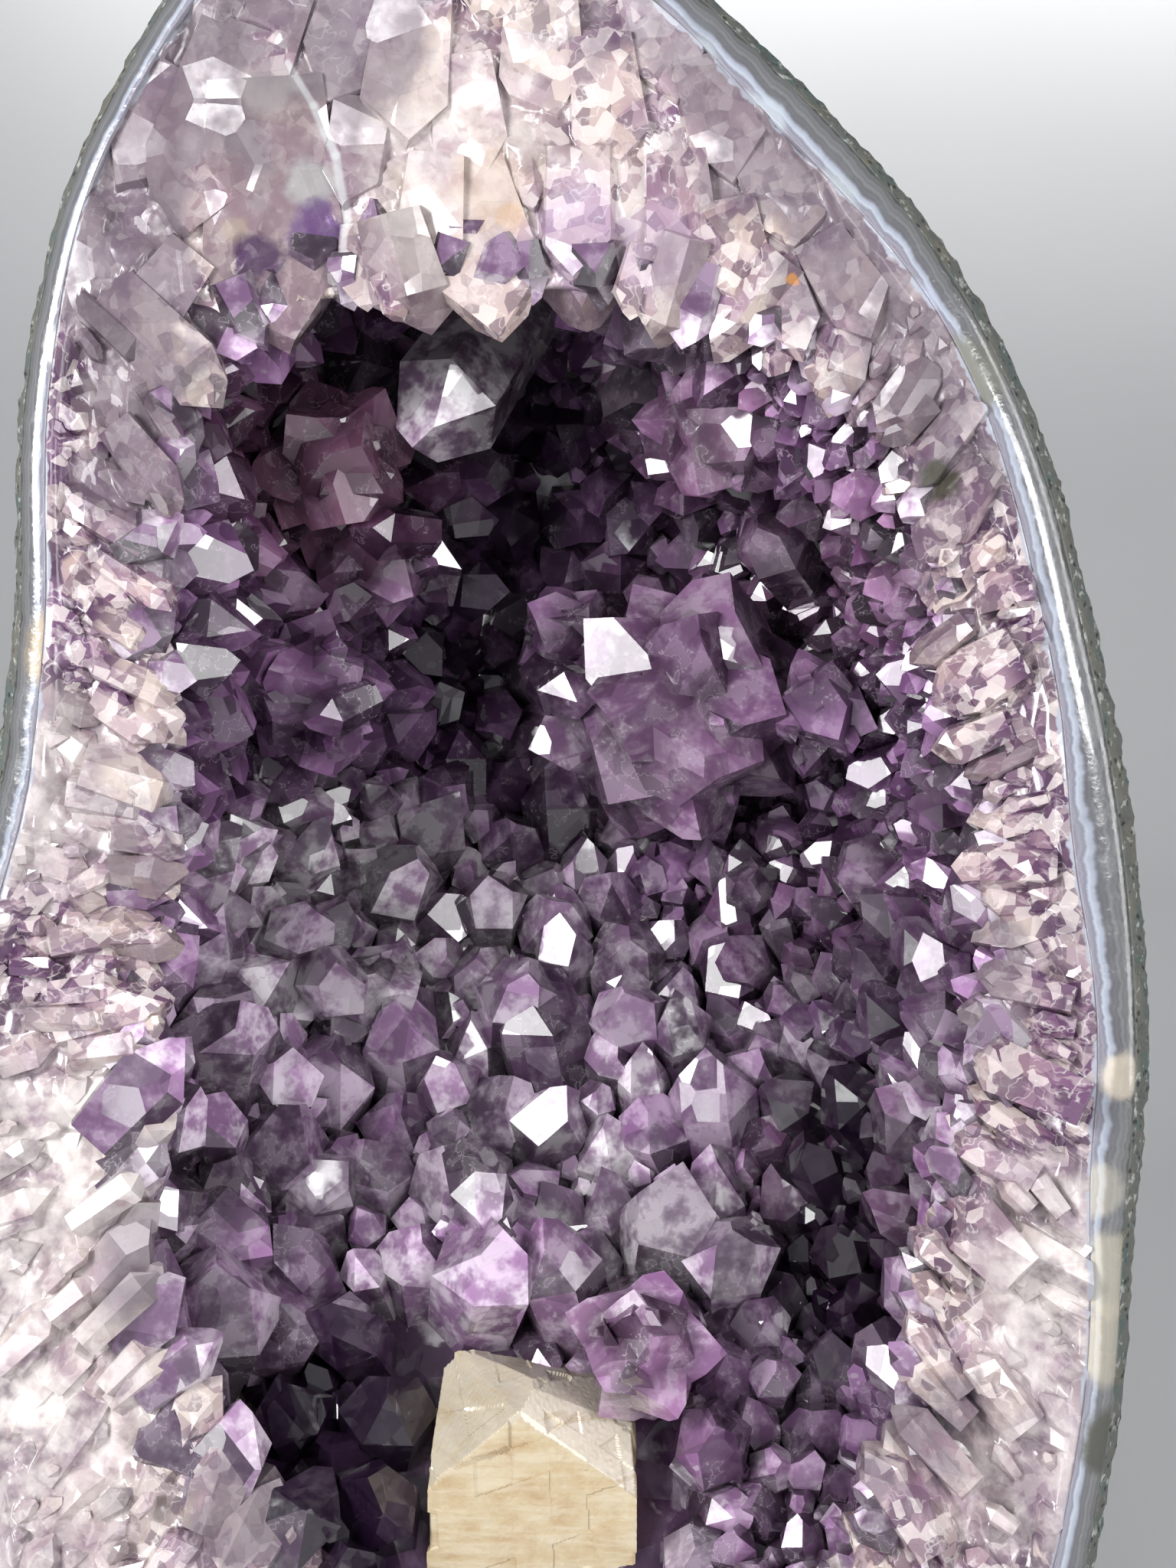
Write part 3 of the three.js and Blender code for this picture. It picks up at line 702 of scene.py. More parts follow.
def joined_crystals(piece, c, first=0):
    """Joins crystals to a piece, or into a new one. Each face keeps its crystal's number, from first."""
    corners = point_corners(c)
    low, high = corners.min(axis=1), corners.max(axis=1)
    centres = (low + high) / 2
    reach = np.linalg.norm(corners - centres[:, None], axis=-1).max(axis=1)
    group = grouped(centres, reach)
    for number in range(group.max() + 1):
        members = np.nonzero(group == number)[0]
        polygons = [[POINT_CORNERS * k + i for i in face]
                    for k in range(len(members)) for face in POINT_FACES]
        part = new_piece("crystals", corners[members].reshape(-1, 3), polygons, flat=True)
        number_faces(part, first + np.repeat(members, len(POINT_FACES)))
        if piece is None:
            piece = part
        else:
            applied_boolean(piece, part, "UNION")
    return piece


def joined_cut(piece, c):
    """Joins crystals that the face cuts, each by a plane of its own that is tilted a little by chance."""
    tilt = random.normal(0, 0.05, (len(c["at"]), 2))
    for number, (corners, (across, up)) in enumerate(zip(point_corners(c), tilt)):
        part = new_piece("crystal", corners, POINT_FACES, flat=True)
        middle, half = corners.mean(axis=0), np.ptp(corners, axis=0) / 2
        front = 0.3 + 0.03 * number + abs(across) * half[0] + abs(up) * half[2]
        box = slab(0, 400)
        points = from_row(values_of(box.data.vertices, "co", 3))
        points[:, 1] += front + across * (points[:, 0] - middle[0]) + up * (points[:, 2] - middle[2])
        box.data.vertices.foreach_set("co", to_row(points).ravel())
        applied_boolean(part, box, "INTERSECT")
        number_faces(part, np.full(len(part.data.polygons), 1 + number))
        applied_boolean(piece, part, "UNION")


def large_rim_crystals():
    """The large crystals that the face runs through. Their tips are where CUT_POINTS says, and they point
    down and a little into the stone."""
    x, z, deep, radius, lean, clear, tone = CUT_POINTS.T
    along = unit(np.stack([lean, 0.12 + 0 * lean, -1 + 0 * lean], -1))
    tall = 2.9 * radius
    at = np.stack([x, deep, z], -1) - along * tall[:, None]
    return crystals(at, along, radius, tall, 0.3 * radius, clear, odd=0.6, tone=tone)


def in_large(places):
    """How far points are inside the large crystals that the cut face runs through, 0 outside to 1."""
    x, z, _, radius, lean = CUT_POINTS[:, :5].T
    along = unit(np.stack([lean, -1 + 0 * lean], -1))
    offset = places[..., None, :][..., [0, 2]] - np.stack([x, z], -1)
    back = -(offset * along).sum(-1)
    aside = np.abs(offset[..., 0] * along[:, 1] - offset[..., 1] * along[:, 0])
    inside = smooth((back + 4) / 3) * smooth((3.2 * radius - back) / 3)
    return (inside * smooth((0.98 * radius - aside) / 2)).max(axis=-1)


def clear_of_large(places):
    return in_large(places) < 0.3


def rim_sites(tries):
    """Random places spread evenly over the broken part of the face."""
    x, z = random.uniform([-112, 0], [112, 345], (tries, 2)).T
    places = on_cut_face(x, z)
    share, wide = face_share(places)
    rough = roughness_at(places)
    return places[(share < 0.97) & (share * wide > 3.5) & (rough > 0.6) & clear_of_large(places)]


def rim_crystals():
    """The crystals that the rim is broken through: a comb of them along the mouth, one for each column,
    and smaller ones all over the face behind it, which lie nearly in the face and point to the hollow."""
    middle = (COLUMN_EDGES[1:] + COLUMN_EDGES[:-1]) / 2
    width = radius_at(MOUTH, middle) * np.diff(COLUMN_EDGES)
    count = len(middle)
    radius = 0.64 * width
    sink = random.uniform(0.6, 1.2, count) * radius
    tip = face_point(radius_at(MOUTH, middle) + random.uniform(-1.5, 6, count), middle, sink)
    way = unit(np.stack([-np.cos(middle), random.uniform(-0.1, 0.3, count), -np.sin(middle)], -1))
    way = unit(way + 0.13 * random.normal(size=(count, 3)))
    tall = 1.9 * radius
    tone, clear, root = random.uniform([[0.4], [0], [6]], [[1], [1], [13]], (3, count))
    free = clear_of_large(tip)
    comb = crystals((tip - way * tall[:, None])[free], way[free], radius[free], tall[free], root[free],
                    clear[free] ** 2, tone=tone[free])
    tip = rim_sites(9000)
    share, wide = face_share(tip)
    order = np.linspace(1, 0, len(tip)) ** 2
    radius = lerp(1.7, lerp(3.2, 6.6, share) * lerp(1, 1.2, smooth((wide - 40) / 20)), order)
    radius = radius * random.uniform(0.8, 1.2, len(tip))
    keep = evenly_spread(tip, 1.5 * radius)
    tip, radius, share, wide = tip[keep], radius[keep], share[keep], wide[keep]
    turn, _ = around_face(tip)
    count = len(tip)
    tip[:, 1] = radius - random.uniform(0.1, 1.5, count)
    way = np.stack([-np.cos(turn), random.uniform(-0.6, 0.05, count), -np.sin(turn)], -1)
    way = unit(unit(way) + 0.2 * random.normal(size=(count, 3)))
    length = np.minimum(radius * random.uniform(3, 5, count), share * wide - 0.5)
    tall = np.minimum(radius * random.uniform(1.6, 2.4, count), 0.8 * length)
    tone = np.clip(share * 0.75 + random.normal(0, 0.28, count), 0, 1)
    clear = random.uniform(0, 1, count) ** 3
    rest = crystals(tip - way * tall[:, None], way, radius, tall, length - tall, clear, tone=tone)
    return gathered(comb, rest)


def evenly_spread(points, apart):
    """Picks points in turn, each only where none that was picked before is nearer than the mean of
    their spacings."""
    kept = []
    for i, point in enumerate(points):
        gap = np.linalg.norm(points[kept] - point, axis=-1)
        if (gap > 0.5 * (apart[kept] + apart[i])).all():
            kept.append(i)
    return np.array(kept)


def wall_sites(tries):
    """Random places spread evenly over the hollow's wall: cells of a fine grid are drawn by their area."""
    turn = np.linspace(0, TURN, 361)[None, :]
    deep = lerp(3, HOLLOW_DEPTH, np.sin(steps(181, 0, 0.995) * np.pi / 2) ** 1.3)
    grid = hollow_point(turn, deep)
    area = np.linalg.norm(np.cross(grid[1:, :-1] - grid[:-1, :-1], grid[:-1, 1:] - grid[:-1, :-1]), axis=-1)
    cell = random.choice(area.size, tries, p=(area / area.sum()).ravel())
    row, column = cell // area.shape[1], cell % area.shape[1]
    f, g = random.uniform(0, 1, (2, tries))
    return lerp(turn[0, column], turn[0, column + 1], g), lerp(deep[row, 0], deep[row + 1, 0], f)


def paleness(at):
    """Crystals are pale near the mouth and on the floor, and dark at the back and under the roof. On the
    floor the paleness is partly the crystals' milky colour and partly painted light, where the light falls
    from above.
    """
    mouth = 0.8 * smooth(1 - at[:, 1] / 15)
    floor = 0.5 * smooth((165 - at[:, 2]) / 45) * smooth((at[:, 2] - 50) / 30)
    return np.maximum(mouth, floor * random.uniform(0.1, 1.3, len(at)))


def wall_crystals():
    """Crystals all over the hollow's wall: wide ones first, then narrower ones in the gaps."""
    tries = 9000
    angle, deep = wall_sites(tries)
    foot = hollow_point(angle, deep)
    share = np.linspace(0, 1, tries)
    largest = lerp(9, 11, smooth((170 - foot[:, 2]) / 50)) * lerp(0.7, 1, smooth(deep / 25))
    largest = largest * lerp(1, 0.65, smooth((foot[:, 0] - 20) / 25))
    radius = np.maximum(largest * (1 - 0.75 * share ** 0.6) * random.uniform(0.8, 1.15, tries), 1.9)
    x, _, z = foot.T
    clear_of_calcite = (np.abs(x - CALCITE_FOOT[0]) > 27) | (z > 70) | (deep > 62)
    keep = evenly_spread(foot, 1.15 * radius)
    keep = keep[clear_of_calcite[keep]]
    angle, deep, foot, radius = angle[keep], deep[keep], foot[keep], radius[keep]
    on_floor = smooth((185 - foot[:, 2]) / 50) * smooth((foot[:, 2] - 40) / 30)
    way = hollow_normal(angle, deep) + np.array([0, -0.35, 1.1]) * on_floor[:, None]
    way = way + 0.34 * random.normal(size=way.shape)
    tall = radius * random.uniform(0.9, 1.9, len(radius)) * lerp(1, 1.5, on_floor)
    mirror = (random.uniform(0, 1, len(radius)) < 0.1) * random.integers(1, 3, len(radius))
    mirror = mirror * (area_looks(foot)[0] < 0.5)
    return crystals(foot, way, radius, tall, 0.7 * radius + 3, paleness(foot), mirror=mirror)


def ball_directions(count, index):
    """Evenly spread directions: a sunflower spiral from pole to pole."""
    k = np.arange(count)
    high = 1 - 2 * (k + 0.5) / count
    flat = np.sqrt(1 - high ** 2)
    angle = 2.39996 * k + index
    return np.stack([flat * np.cos(angle), -high, flat * np.sin(angle)], -1)


def in_front_of_wall(across, up, stand):
    """Places a distance in front of the wall that is straight behind points of the cut face."""
    inward = np.array([0, 1.0, 0])
    return wall_behind(on_cut_face(across, up), inward) - stand[:, None] * inward


def boss_centres():
    """Middles of the balls that the bosses' crystals stand on."""
    return in_front_of_wall(*BOSSES[:, :3].T)


def boss_crystals():
    """Broad crystals on each boss's ball, on the side that faces the mouth, and a stem to the wall."""
    sets = []
    centres = boss_centres()
    for index, (centre, size) in enumerate(zip(centres, BOSSES[:, 3])):
        way = ball_directions(int(9 + 0.015 * size ** 2), index)
        way = way[way[:, 1] < 0.5]
        radius = lerp(0.66, 0.5, smooth((size - 14) / 10)) * size * random.uniform(0.85, 1.2, len(way))
        foot = centre + 0.5 * size * way
        leaning = way + 0.12 * random.normal(size=way.shape)
        tall = 0.54 * size * random.uniform(0.85, 1.1, len(way))
        pale, tone = 0.12 * random.uniform(0, 1, len(way)), random.uniform(0.45, 1, len(way))
        sets.append(crystals(foot, leaning, radius, tall, 0.4 * size, pale, tone=tone))
        count = int(0.025 * size ** 2)
        way = ball_directions(count, index + 0.5) + 0.25 * random.normal(size=(count, 3))
        way = unit(way[way[:, 1] < 0.6])
        small = random.uniform(2, 3.6, len(way))
        sets.append(crystals(centre + 0.7 * size * way, way, small, 1.4 * small, 0.4 * size))
    back = np.tile([0.0, -1.0, 0.0], (len(centres), 1))
    sets.append(crystals(centres, back, 0.8 * BOSSES[:, 3], 0.5 * BOSSES[:, 3], BOSSES[:, 2] + 12))
    return gathered(*sets)


def large_crystals():
    """The single crystals that stand off the wall, each with a root that reaches it."""
    across, up, stand, radius, x, z, y = LARGE_POINTS.T
    at = in_front_of_wall(across, up, stand)
    pale = np.array([0.3, 0.2, 0.3, 0.3, 0.7, 0.75, 0.6, 0.15, 0.2])
    mirror = np.array([2, 0, 0, 0, 0, 0, 0, 0, 0])
    return crystals(at, np.stack([x, y, z], -1), radius, radius, stand + 14, pale, odd=0.5, mirror=mirror)


def bright_crystals():
    """The crystals that catch the window, each found behind its place on the cut face as it is seen."""
    across, up, radius = BRIGHT_POINTS.T
    on_face = on_cut_face(across, up)
    sight = unit(on_face - from_row(camera_place))
    run = np.linalg.norm(wall_behind(on_face, sight) - on_face, axis=-1)
    offset = boss_centres()[:, None] - on_face
    along = (offset * sight).sum(-1)
    aside = np.linalg.norm(offset - along[..., None] * sight, axis=-1)
    ball = 0.8 * BOSSES[:, 3:]
    hit = np.where(aside < ball, along - np.sqrt(np.maximum(ball ** 2 - aside ** 2, 0)), np.inf)
    at = on_face + sight * (np.minimum(run, hit.min(axis=0)) - 0.4 * radius - 2)[:, None]
    way = -sight + 0.3 * random.normal(size=sight.shape)
    mirror = random.integers(1, 3, len(at))
    return crystals(at, way, 1.15 * radius, 1.3 * radius, radius + 6, paleness(at), odd=0.8, mirror=mirror)


def seen_on_face(points):
    """Where the lines of sight from the camera to points cross the cut face: across and up."""
    eye = from_row(camera_place)
    share = -eye[1] / (points[:, 1] - eye[1])
    crossing = eye + (points - eye) * share[:, None]
    return crossing[:, 0], crossing[:, 2]


def area_looks(points):
    """How dark, pale and red points are: the sum of the areas' shares where they are seen. The darkness is
    painted shade, and the paleness is partly painted light.
    """
    share = area_share(*seen_on_face(points), HOLLOW_AREAS)
    return np.clip(share @ HOLLOW_AREAS[:, 3:], 0, 1).T


def amethyst_points():
    """All the crystals in the hollow joined in one solid. Its map is how red a crystal is, and its tone."""
    sets = (wall_crystals(), boss_crystals(), large_crystals(), bright_crystals())
    c = gathered(*sets)
    on_wall, calm = np.repeat([[1, 0, 0, 0], [0, 0.5, 0.5, 0]], [len(each["at"]) for each in sets], axis=1)
    piece = joined_crystals(None, c)
    piece.name = "amethyst_points"
    applied_boolean(piece, slab(0.1, 200), "INTERSECT")
    kept_in_quartz(piece)
    trimmed(piece)
    mesh = piece.data
    places, face_of = corner_places(mesh)
    owner = taken_numbers(mesh)[face_of]
    tone = c["tone"][owner]
    reach = reach_of(c, owner, places)
    # Painted shade and light: the areas' darkness is painted shade, and their paleness is partly painted
    # light.
    dark, pale, red = area_looks(c["at"])
    # Painted shade: darker deeper into the hollow, and a little darker on the wall high under the roof.
    behind = 0.12 * on_wall * smooth((c["at"][:, 2] - 150) / 30)
    dark = 1 - (1 - dark) * (1 - 0.45 * smooth((c["at"][:, 1] - 20) / 60)) * (1 - behind)
    pale = np.maximum(c["pale"], pale * np.random.default_rng(5).uniform(0.3, 1.3, len(pale)))
    set_look(mesh, reach, dark[owner], tone, np.clip(pale, 0, 1)[owner])
    # Painted light and shade: each facet gets its own brightness by the way that it faces.
    facet = facet_light_and_shade(mesh, face_of, tone)
    set_map(mesh, red[owner], facet + (0.55 - facet) * calm[owner])
    return piece


# The calcite

# Planes that bound it: the way that each looks, and how far it is from the middle
CALCITE_PLANES = np.array([
    [0, 0, -1, 23.75], [-0.987, 0.163, 0, 20.2], [-0.111, -0.994, -0.023, 12.04],
    [-0.062, -0.998, 0, 12.42], [0.998, -0.07, 0, 18.01], [0, 1, 0, 13.5], [-0.639, -0.357, 0.681, 21.07],
    [0.459, -0.582, 0.671, 18.39], [-0.361, -0.274, 0.892, 22.96], [0.969, -0.162, 0.186, 19.5],
    [0.477, -0.271, 0.836, 20.05], [0.178, 0.135, 0.975, 22.27]])
# How bright each plane is painted, from warm ochre (0) to cream (1): a painted light and shade, with the
# planes that face up brighter than the sides and the base
CALCITE_PAINTED_SHADING = np.array([0, 0.3, 0.2, 0.25, 0, 0.3, 0.5, 1.1, 0.55, 0.1, 1.1, 0.6])
# Directions that it splits square to
CALCITE_SPLITS = np.array([[1, 0.1, 0.05], [-0.35, 0.1, 0.95], [0.1, 1, 0.1]])


def calcite_block():
    """The calcite: in each direction its surface is at the nearest of its planes, and each plane drops in
    small flat steps where the crystal has split."""
    around, rows = 300, 200
    turn = -np.linspace(0, TURN, around, endpoint=False)[None, :]
    high = np.cos(steps(rows, 0.01, np.pi - 0.01))
    flat = np.sqrt(1 - high ** 2)
    way = np.stack(np.broadcast_arrays(flat * np.cos(turn), flat * np.sin(turn), high), -1)
    lean = way @ CALCITE_PLANES[:, :3].T
    reach = np.where(lean > 1e-3, CALCITE_PLANES[:, 3] / np.maximum(lean, 1e-3), 1e3)
    whole = way * reach.min(axis=-1)[..., None]
    split = np.floor(whole @ CALCITE_SPLITS.T / 7) * 7
    waves = np.stack([ripple(split, 14, 40 + k) for k in range(len(CALCITE_PLANES))], -1)
    drop = np.floor(2.2 * np.maximum(waves, -0.2) + 0.6)
    grain = 0.06 * ripple(whole, 1.6, 60)
    depth = CALCITE_PLANES[:, 3] - 0.3 * np.clip(drop, 0, 2) - np.abs(grain)[..., None]
    reach = np.where(lean > 1e-3, depth / np.maximum(lean, 1e-3), 1e3)
    points = way * reach.min(axis=-1)[..., None]
    x, y, z = np.moveaxis(points, -1, 0)
    c, s = np.cos(CALCITE_TURN), np.sin(CALCITE_TURN)
    points = np.stack([x * c - y * s, x * s + y * c, z + CALCITE_HALF], -1)
    foot = to_row(CALCITE_FOOT)
    piece = new_piece("calcite_block", *wrapped_rings(from_row(foot + points * MM)[::-1]), flat=True)
    trimmed(piece)
    places, _ = corner_places(piece.data)
    x, y, z = np.moveaxis((to_row(places) - foot) / MM, -1, 0)
    way = unit(np.stack([x * c + y * s, y * c - x * s, z - CALCITE_HALF], -1))
    nearest = ((way @ CALCITE_PLANES[:, :3].T) / CALCITE_PLANES[:, 3]).argmax(axis=-1)
    # Painted light and shade: each corner takes the painted brightness of its nearest plane.
    set_map(piece.data, CALCITE_PAINTED_SHADING[nearest], z / CALCITE_HALF)
    return piece


# Materials

class Finish:
    """One material's nodes. Lengths are in millimetres, colours are linear red, green and blue, and a share
    is 0 to 1. paint lays colours one over another, and done hands the result to the shader."""

    def __init__(self, name, **values):
        self.material = bpy.data.materials.new(name)
        self.material.use_nodes = True
        self.tree = self.material.node_tree
        self.shader = self.tree.nodes["Principled BSDF"]
        for key, value in values.items():
            self.set(key.replace("_", " ").replace("Ior", "IOR"), value)
        self.place = self.node("TexCoord").outputs["Object"]
        self.colour = self.waver = None

    def set(self, socket, value):
        self.put(self.shader.inputs[socket], value)

    def put(self, socket, value):
        if isinstance(value, bpy.types.NodeSocket):
            self.tree.links.new(value, socket)
        else:
            socket.default_value = (*value, 1.0) if socket.type == "RGBA" else value

    def node(self, kind, inputs=None, **settings):
        node = self.tree.nodes.new("ShaderNode" + kind)
        for key, value in settings.items():
            setattr(node, key, value)
        for key, value in (inputs or {}).items():
            self.put(node.inputs[key], value)
        return node

    def maths(self, operation, a, b=0.0, clamp=False):
        return self.node("Math", {0: a, 1: b}, operation=operation, use_clamp=clamp).outputs[0]

    def times(self, first, *others):
        for other in others:
            first = self.maths("MULTIPLY", first, other)
        return first

    def plus(self, a, b):
        return self.maths("ADD", a, b)

    def vectors(self, operation, a, b=(0, 0, 0), scale=1.0):
        """A sum of vectors. A length or a dot product comes out as a number."""
        node = self.node("VectorMath", {0: a, 1: b, 3: scale}, operation=operation)
        return node.outputs[1 if operation in ("LENGTH", "DOT_PRODUCT") else 0]

    def split(self, vector):
        return self.node("SeparateXYZ", {"Vector": vector}).outputs

    def join(self, x, y):
        return self.node("CombineXYZ", {0: x, 1: y}).outputs[0]

    def map(self, name="layers"):
        uv = self.split(self.node("UVMap", uv_map=name).outputs[0])
        return uv[0], uv[1]

    def look(self):
        node = self.node("Attribute", attribute_name="look")
        red, green, blue = self.node("SeparateColor", {"Color": node.outputs["Color"]}).outputs
        return red, green, blue, node.outputs["Alpha"]

    def spread(self, value, low, high, start=0.0, stop=1.0):
        """Eased from start to stop as value runs from low to high."""
        inputs = {"Value": value, "From Min": low, "From Max": high, "To Min": start, "To Max": stop}
        return self.node("MapRange", inputs, interpolation_type="SMOOTHSTEP").outputs[0]

    def mix(self, share, a, b):
        return self.node("Mix", {"Factor": share, 6: a, 7: b}, data_type="RGBA").outputs[2]

    def paint(self, tint, *shares):
        """Lays a colour over those before it, by the product of the shares."""
        self.colour = self.mix(self.times(*shares), self.colour, tint)

    def bands(self, value, stops):
        """Colours along a value: stops are (place, colour)."""
        node = self.node("ValToRGB", {"Fac": value})
        for _ in stops[2:]:
            node.color_ramp.elements.new(0.5)
        for element, (place, colour) in zip(node.color_ramp.elements, stops):
            element.position = place
            element.color = (*colour, 1.0)
        return node.outputs["Color"]

    def noise(self, size, detail=3, rough=0.5, vector=None):
        """Clouds of a size, over the object's own places or over a vector of millimetres."""
        scale = 1 / (size * MM) if vector is None else 1 / size
        inputs = {"Vector": vector or self.place, "Scale": scale, "Detail": detail, "Roughness": rough}
        return self.node("TexNoise", inputs).outputs["Fac"]

    def cells(self, size):
        return self.node("TexVoronoi", {"Vector": self.place, "Scale": 1 / (size * MM)}).outputs

    def shards(self, size):
        """Flat shards: each cell's height is a plane that tilts by chance about the cell's middle. Gives
        the height in cell sizes, and a random number for each cell."""
        cell = self.cells(size)
        tilt = self.vectors("SUBTRACT", cell["Color"], (0.5, 0.5, 0.5))
        height = self.vectors("DOT_PRODUCT", self.vectors("SUBTRACT", self.place, cell["Position"]), tilt)
        return self.times(height, 1 / (size * MM)), self.split(cell["Color"])[0]

    def spot(self, across, up, size, wobble=0.35):
        """1 near a place on the cut face and 0 past size from it, with a wavering edge."""
        gap = self.vectors("LENGTH", self.vectors("SUBTRACT", self.place, to_row([across, 0, up])))
        if self.waver is None:
            self.waver = self.noise(5, 4, 0.6)
        near = self.plus(gap, self.times(self.waver, 2 * wobble * size * MM))
        return self.spread(near, (0.6 + wobble) * size * MM, (1 + wobble) * size * MM, 1, 0)

    def stains(self, rows, wobble=0.35):
        """Paints spots: each row is across, up, size, colour and share."""
        for across, up, size, tint, share in rows:
            self.paint(tint, self.spot(across, up, size, wobble), share)

    def stroke(self, start, end, width):
        """1 along the straight line between two places on the cut face and 0 beside it, at any depth."""
        start, end = (to_row([place[0], 0, place[1]]) for place in (start, end))
        inward = (to_row([0, 1, 0]) - to_row([0, 0, 0])) / MM
        way = end - start
        offset = self.vectors("SUBTRACT", self.place, start)
        along = self.maths("ADD", self.vectors("DOT_PRODUCT", offset, way / (way @ way)), 0.0, True)
        aside = self.vectors("SUBTRACT", offset, self.vectors("SCALE", way, scale=along))
        gap = self.vectors("LENGTH", self.vectors("CROSS_PRODUCT", aside, inward))
        return self.spread(gap, 0.3 * width * MM, width * MM, 1, 0)

    def bump(self, height, distance):
        bump = self.node("Bump", {"Height": height, "Distance": distance * MM, "Strength": 1.0})
        self.set("Normal", bump.outputs[0])

    def done(self, roughness):
        self.set("Base Color", self.colour)
        self.set("Roughness", roughness)
        return self.material


def basalt_finish():
    """Dark rock: a fine grain in patches, green and pale crystals, and dark pits."""
    f = Finish("basalt")
    grain, pits = f.noise(0.9, 4, 0.6), f.cells(2.1)["Distance"]
    f.colour = f.mix(grain, (0.05, 0.052, 0.048), (0.16, 0.165, 0.15))
    f.paint((0.13, 0.125, 0.105), f.spread(f.noise(9, 3, 0.6), 0.4, 0.65))
    f.paint((0.055, 0.105, 0.1), f.spread(f.noise(5, 2), 0.55, 0.62), 0.5)
    f.paint((0.4, 0.41, 0.38), f.spread(f.noise(2.2, 3, 0.65), 0.56, 0.66), 0.75)
    f.paint((0.012, 0.012, 0.01), f.spread(pits, 0.12, 0.3, 0.8, 0))
    f.bump(f.plus(f.times(grain, 0.8), f.times(f.spread(pits, 0, 0.35), 0.7)), 0.5)
    return f.done(f.spread(grain, 0.3, 0.7, 0.62, 0.9))


def agate_finish():
    """Polished bands from dark grey to pale blue, that waver along the rim, with fine lines and stains."""
    f = Finish("agate", Coat_Weight=0.6, Coat_Roughness=0.04, Ior=1.54)
    turns, across = f.map()
    run = f.times(turns, 900.0)
    slow = f.noise(14, vector=f.join(run, 0.0))
    small = f.noise(3.5, vector=f.join(run, f.times(across, 4.0)))
    layer = f.plus(across, f.plus(f.times(f.plus(slow, -0.5), 0.5), f.times(f.plus(small, -0.5), 0.22)))
    f.colour = f.bands(layer, [
        (0.0, (0.07, 0.07, 0.065)), (0.1, (0.14, 0.14, 0.142)), (0.36, (0.21, 0.21, 0.22)),
        (0.5, (0.12, 0.12, 0.13)), (0.62, (0.15, 0.15, 0.175)), (0.68, (0.27, 0.3, 0.37)),
        (0.78, (0.36, 0.39, 0.45)), (0.84, (0.19, 0.19, 0.24)), (1.0, (0.2, 0.18, 0.22))])
    wave = {"Vector": f.join(0.0, f.times(layer, 2.2)), "Scale": 1.0, "Distortion": 0.0}
    f.paint((0.5, 0.51, 0.55), f.node("TexWave", wave, bands_direction="Y").outputs["Fac"], 0.14)
    f.paint((0.2, 0.22, 0.24), f.spread(f.noise(7, 4, 0.6), 0.52, 0.7), 0.35)
    f.stains([
        (33, 300, 7, (0.4, 0.44, 0.49), 0.8), (22, 311, 6, (0.36, 0.42, 0.44), 0.7),
        (41, 291, 4, (0.1, 0.11, 0.12), 0.8), (47, 287, 6, (0.36, 0.4, 0.42), 0.7),
        (61, 268, 6, (0.38, 0.4, 0.5), 0.7), (12, 322, 5, (0.12, 0.13, 0.12), 0.8),
        (-92.6, 206, 8, (0.45, 0.36, 0.26), 0.9), (-91.8, 261.5, 4, (0.7, 0.68, 0.63), 0.9),
        (71.3, 255.6, 9, (0.19, 0.19, 0.165), 0.95), (100, 131.8, 5, (0.66, 0.58, 0.47), 0.8),
        (98.7, 96, 10, (0.62, 0.57, 0.45), 0.6), (99.5, 84, 9, (0.6, 0.54, 0.42), 0.6),
        (99.6, 66, 8, (0.07, 0.07, 0.05), 0.9), (96, 112, 6, (0.6, 0.56, 0.47), 0.5)])
    f.set("Transmission Weight", f.spread(layer, 0.7, 0.5, 0.0, 0.35))
    f.bump(f.plus(f.noise(3, 3), f.times(f.noise(0.8), 0.15)), 0.16)
    return f.done(f.spread(f.noise(4, 3), 0.35, 0.7, 0.1, 0.3))


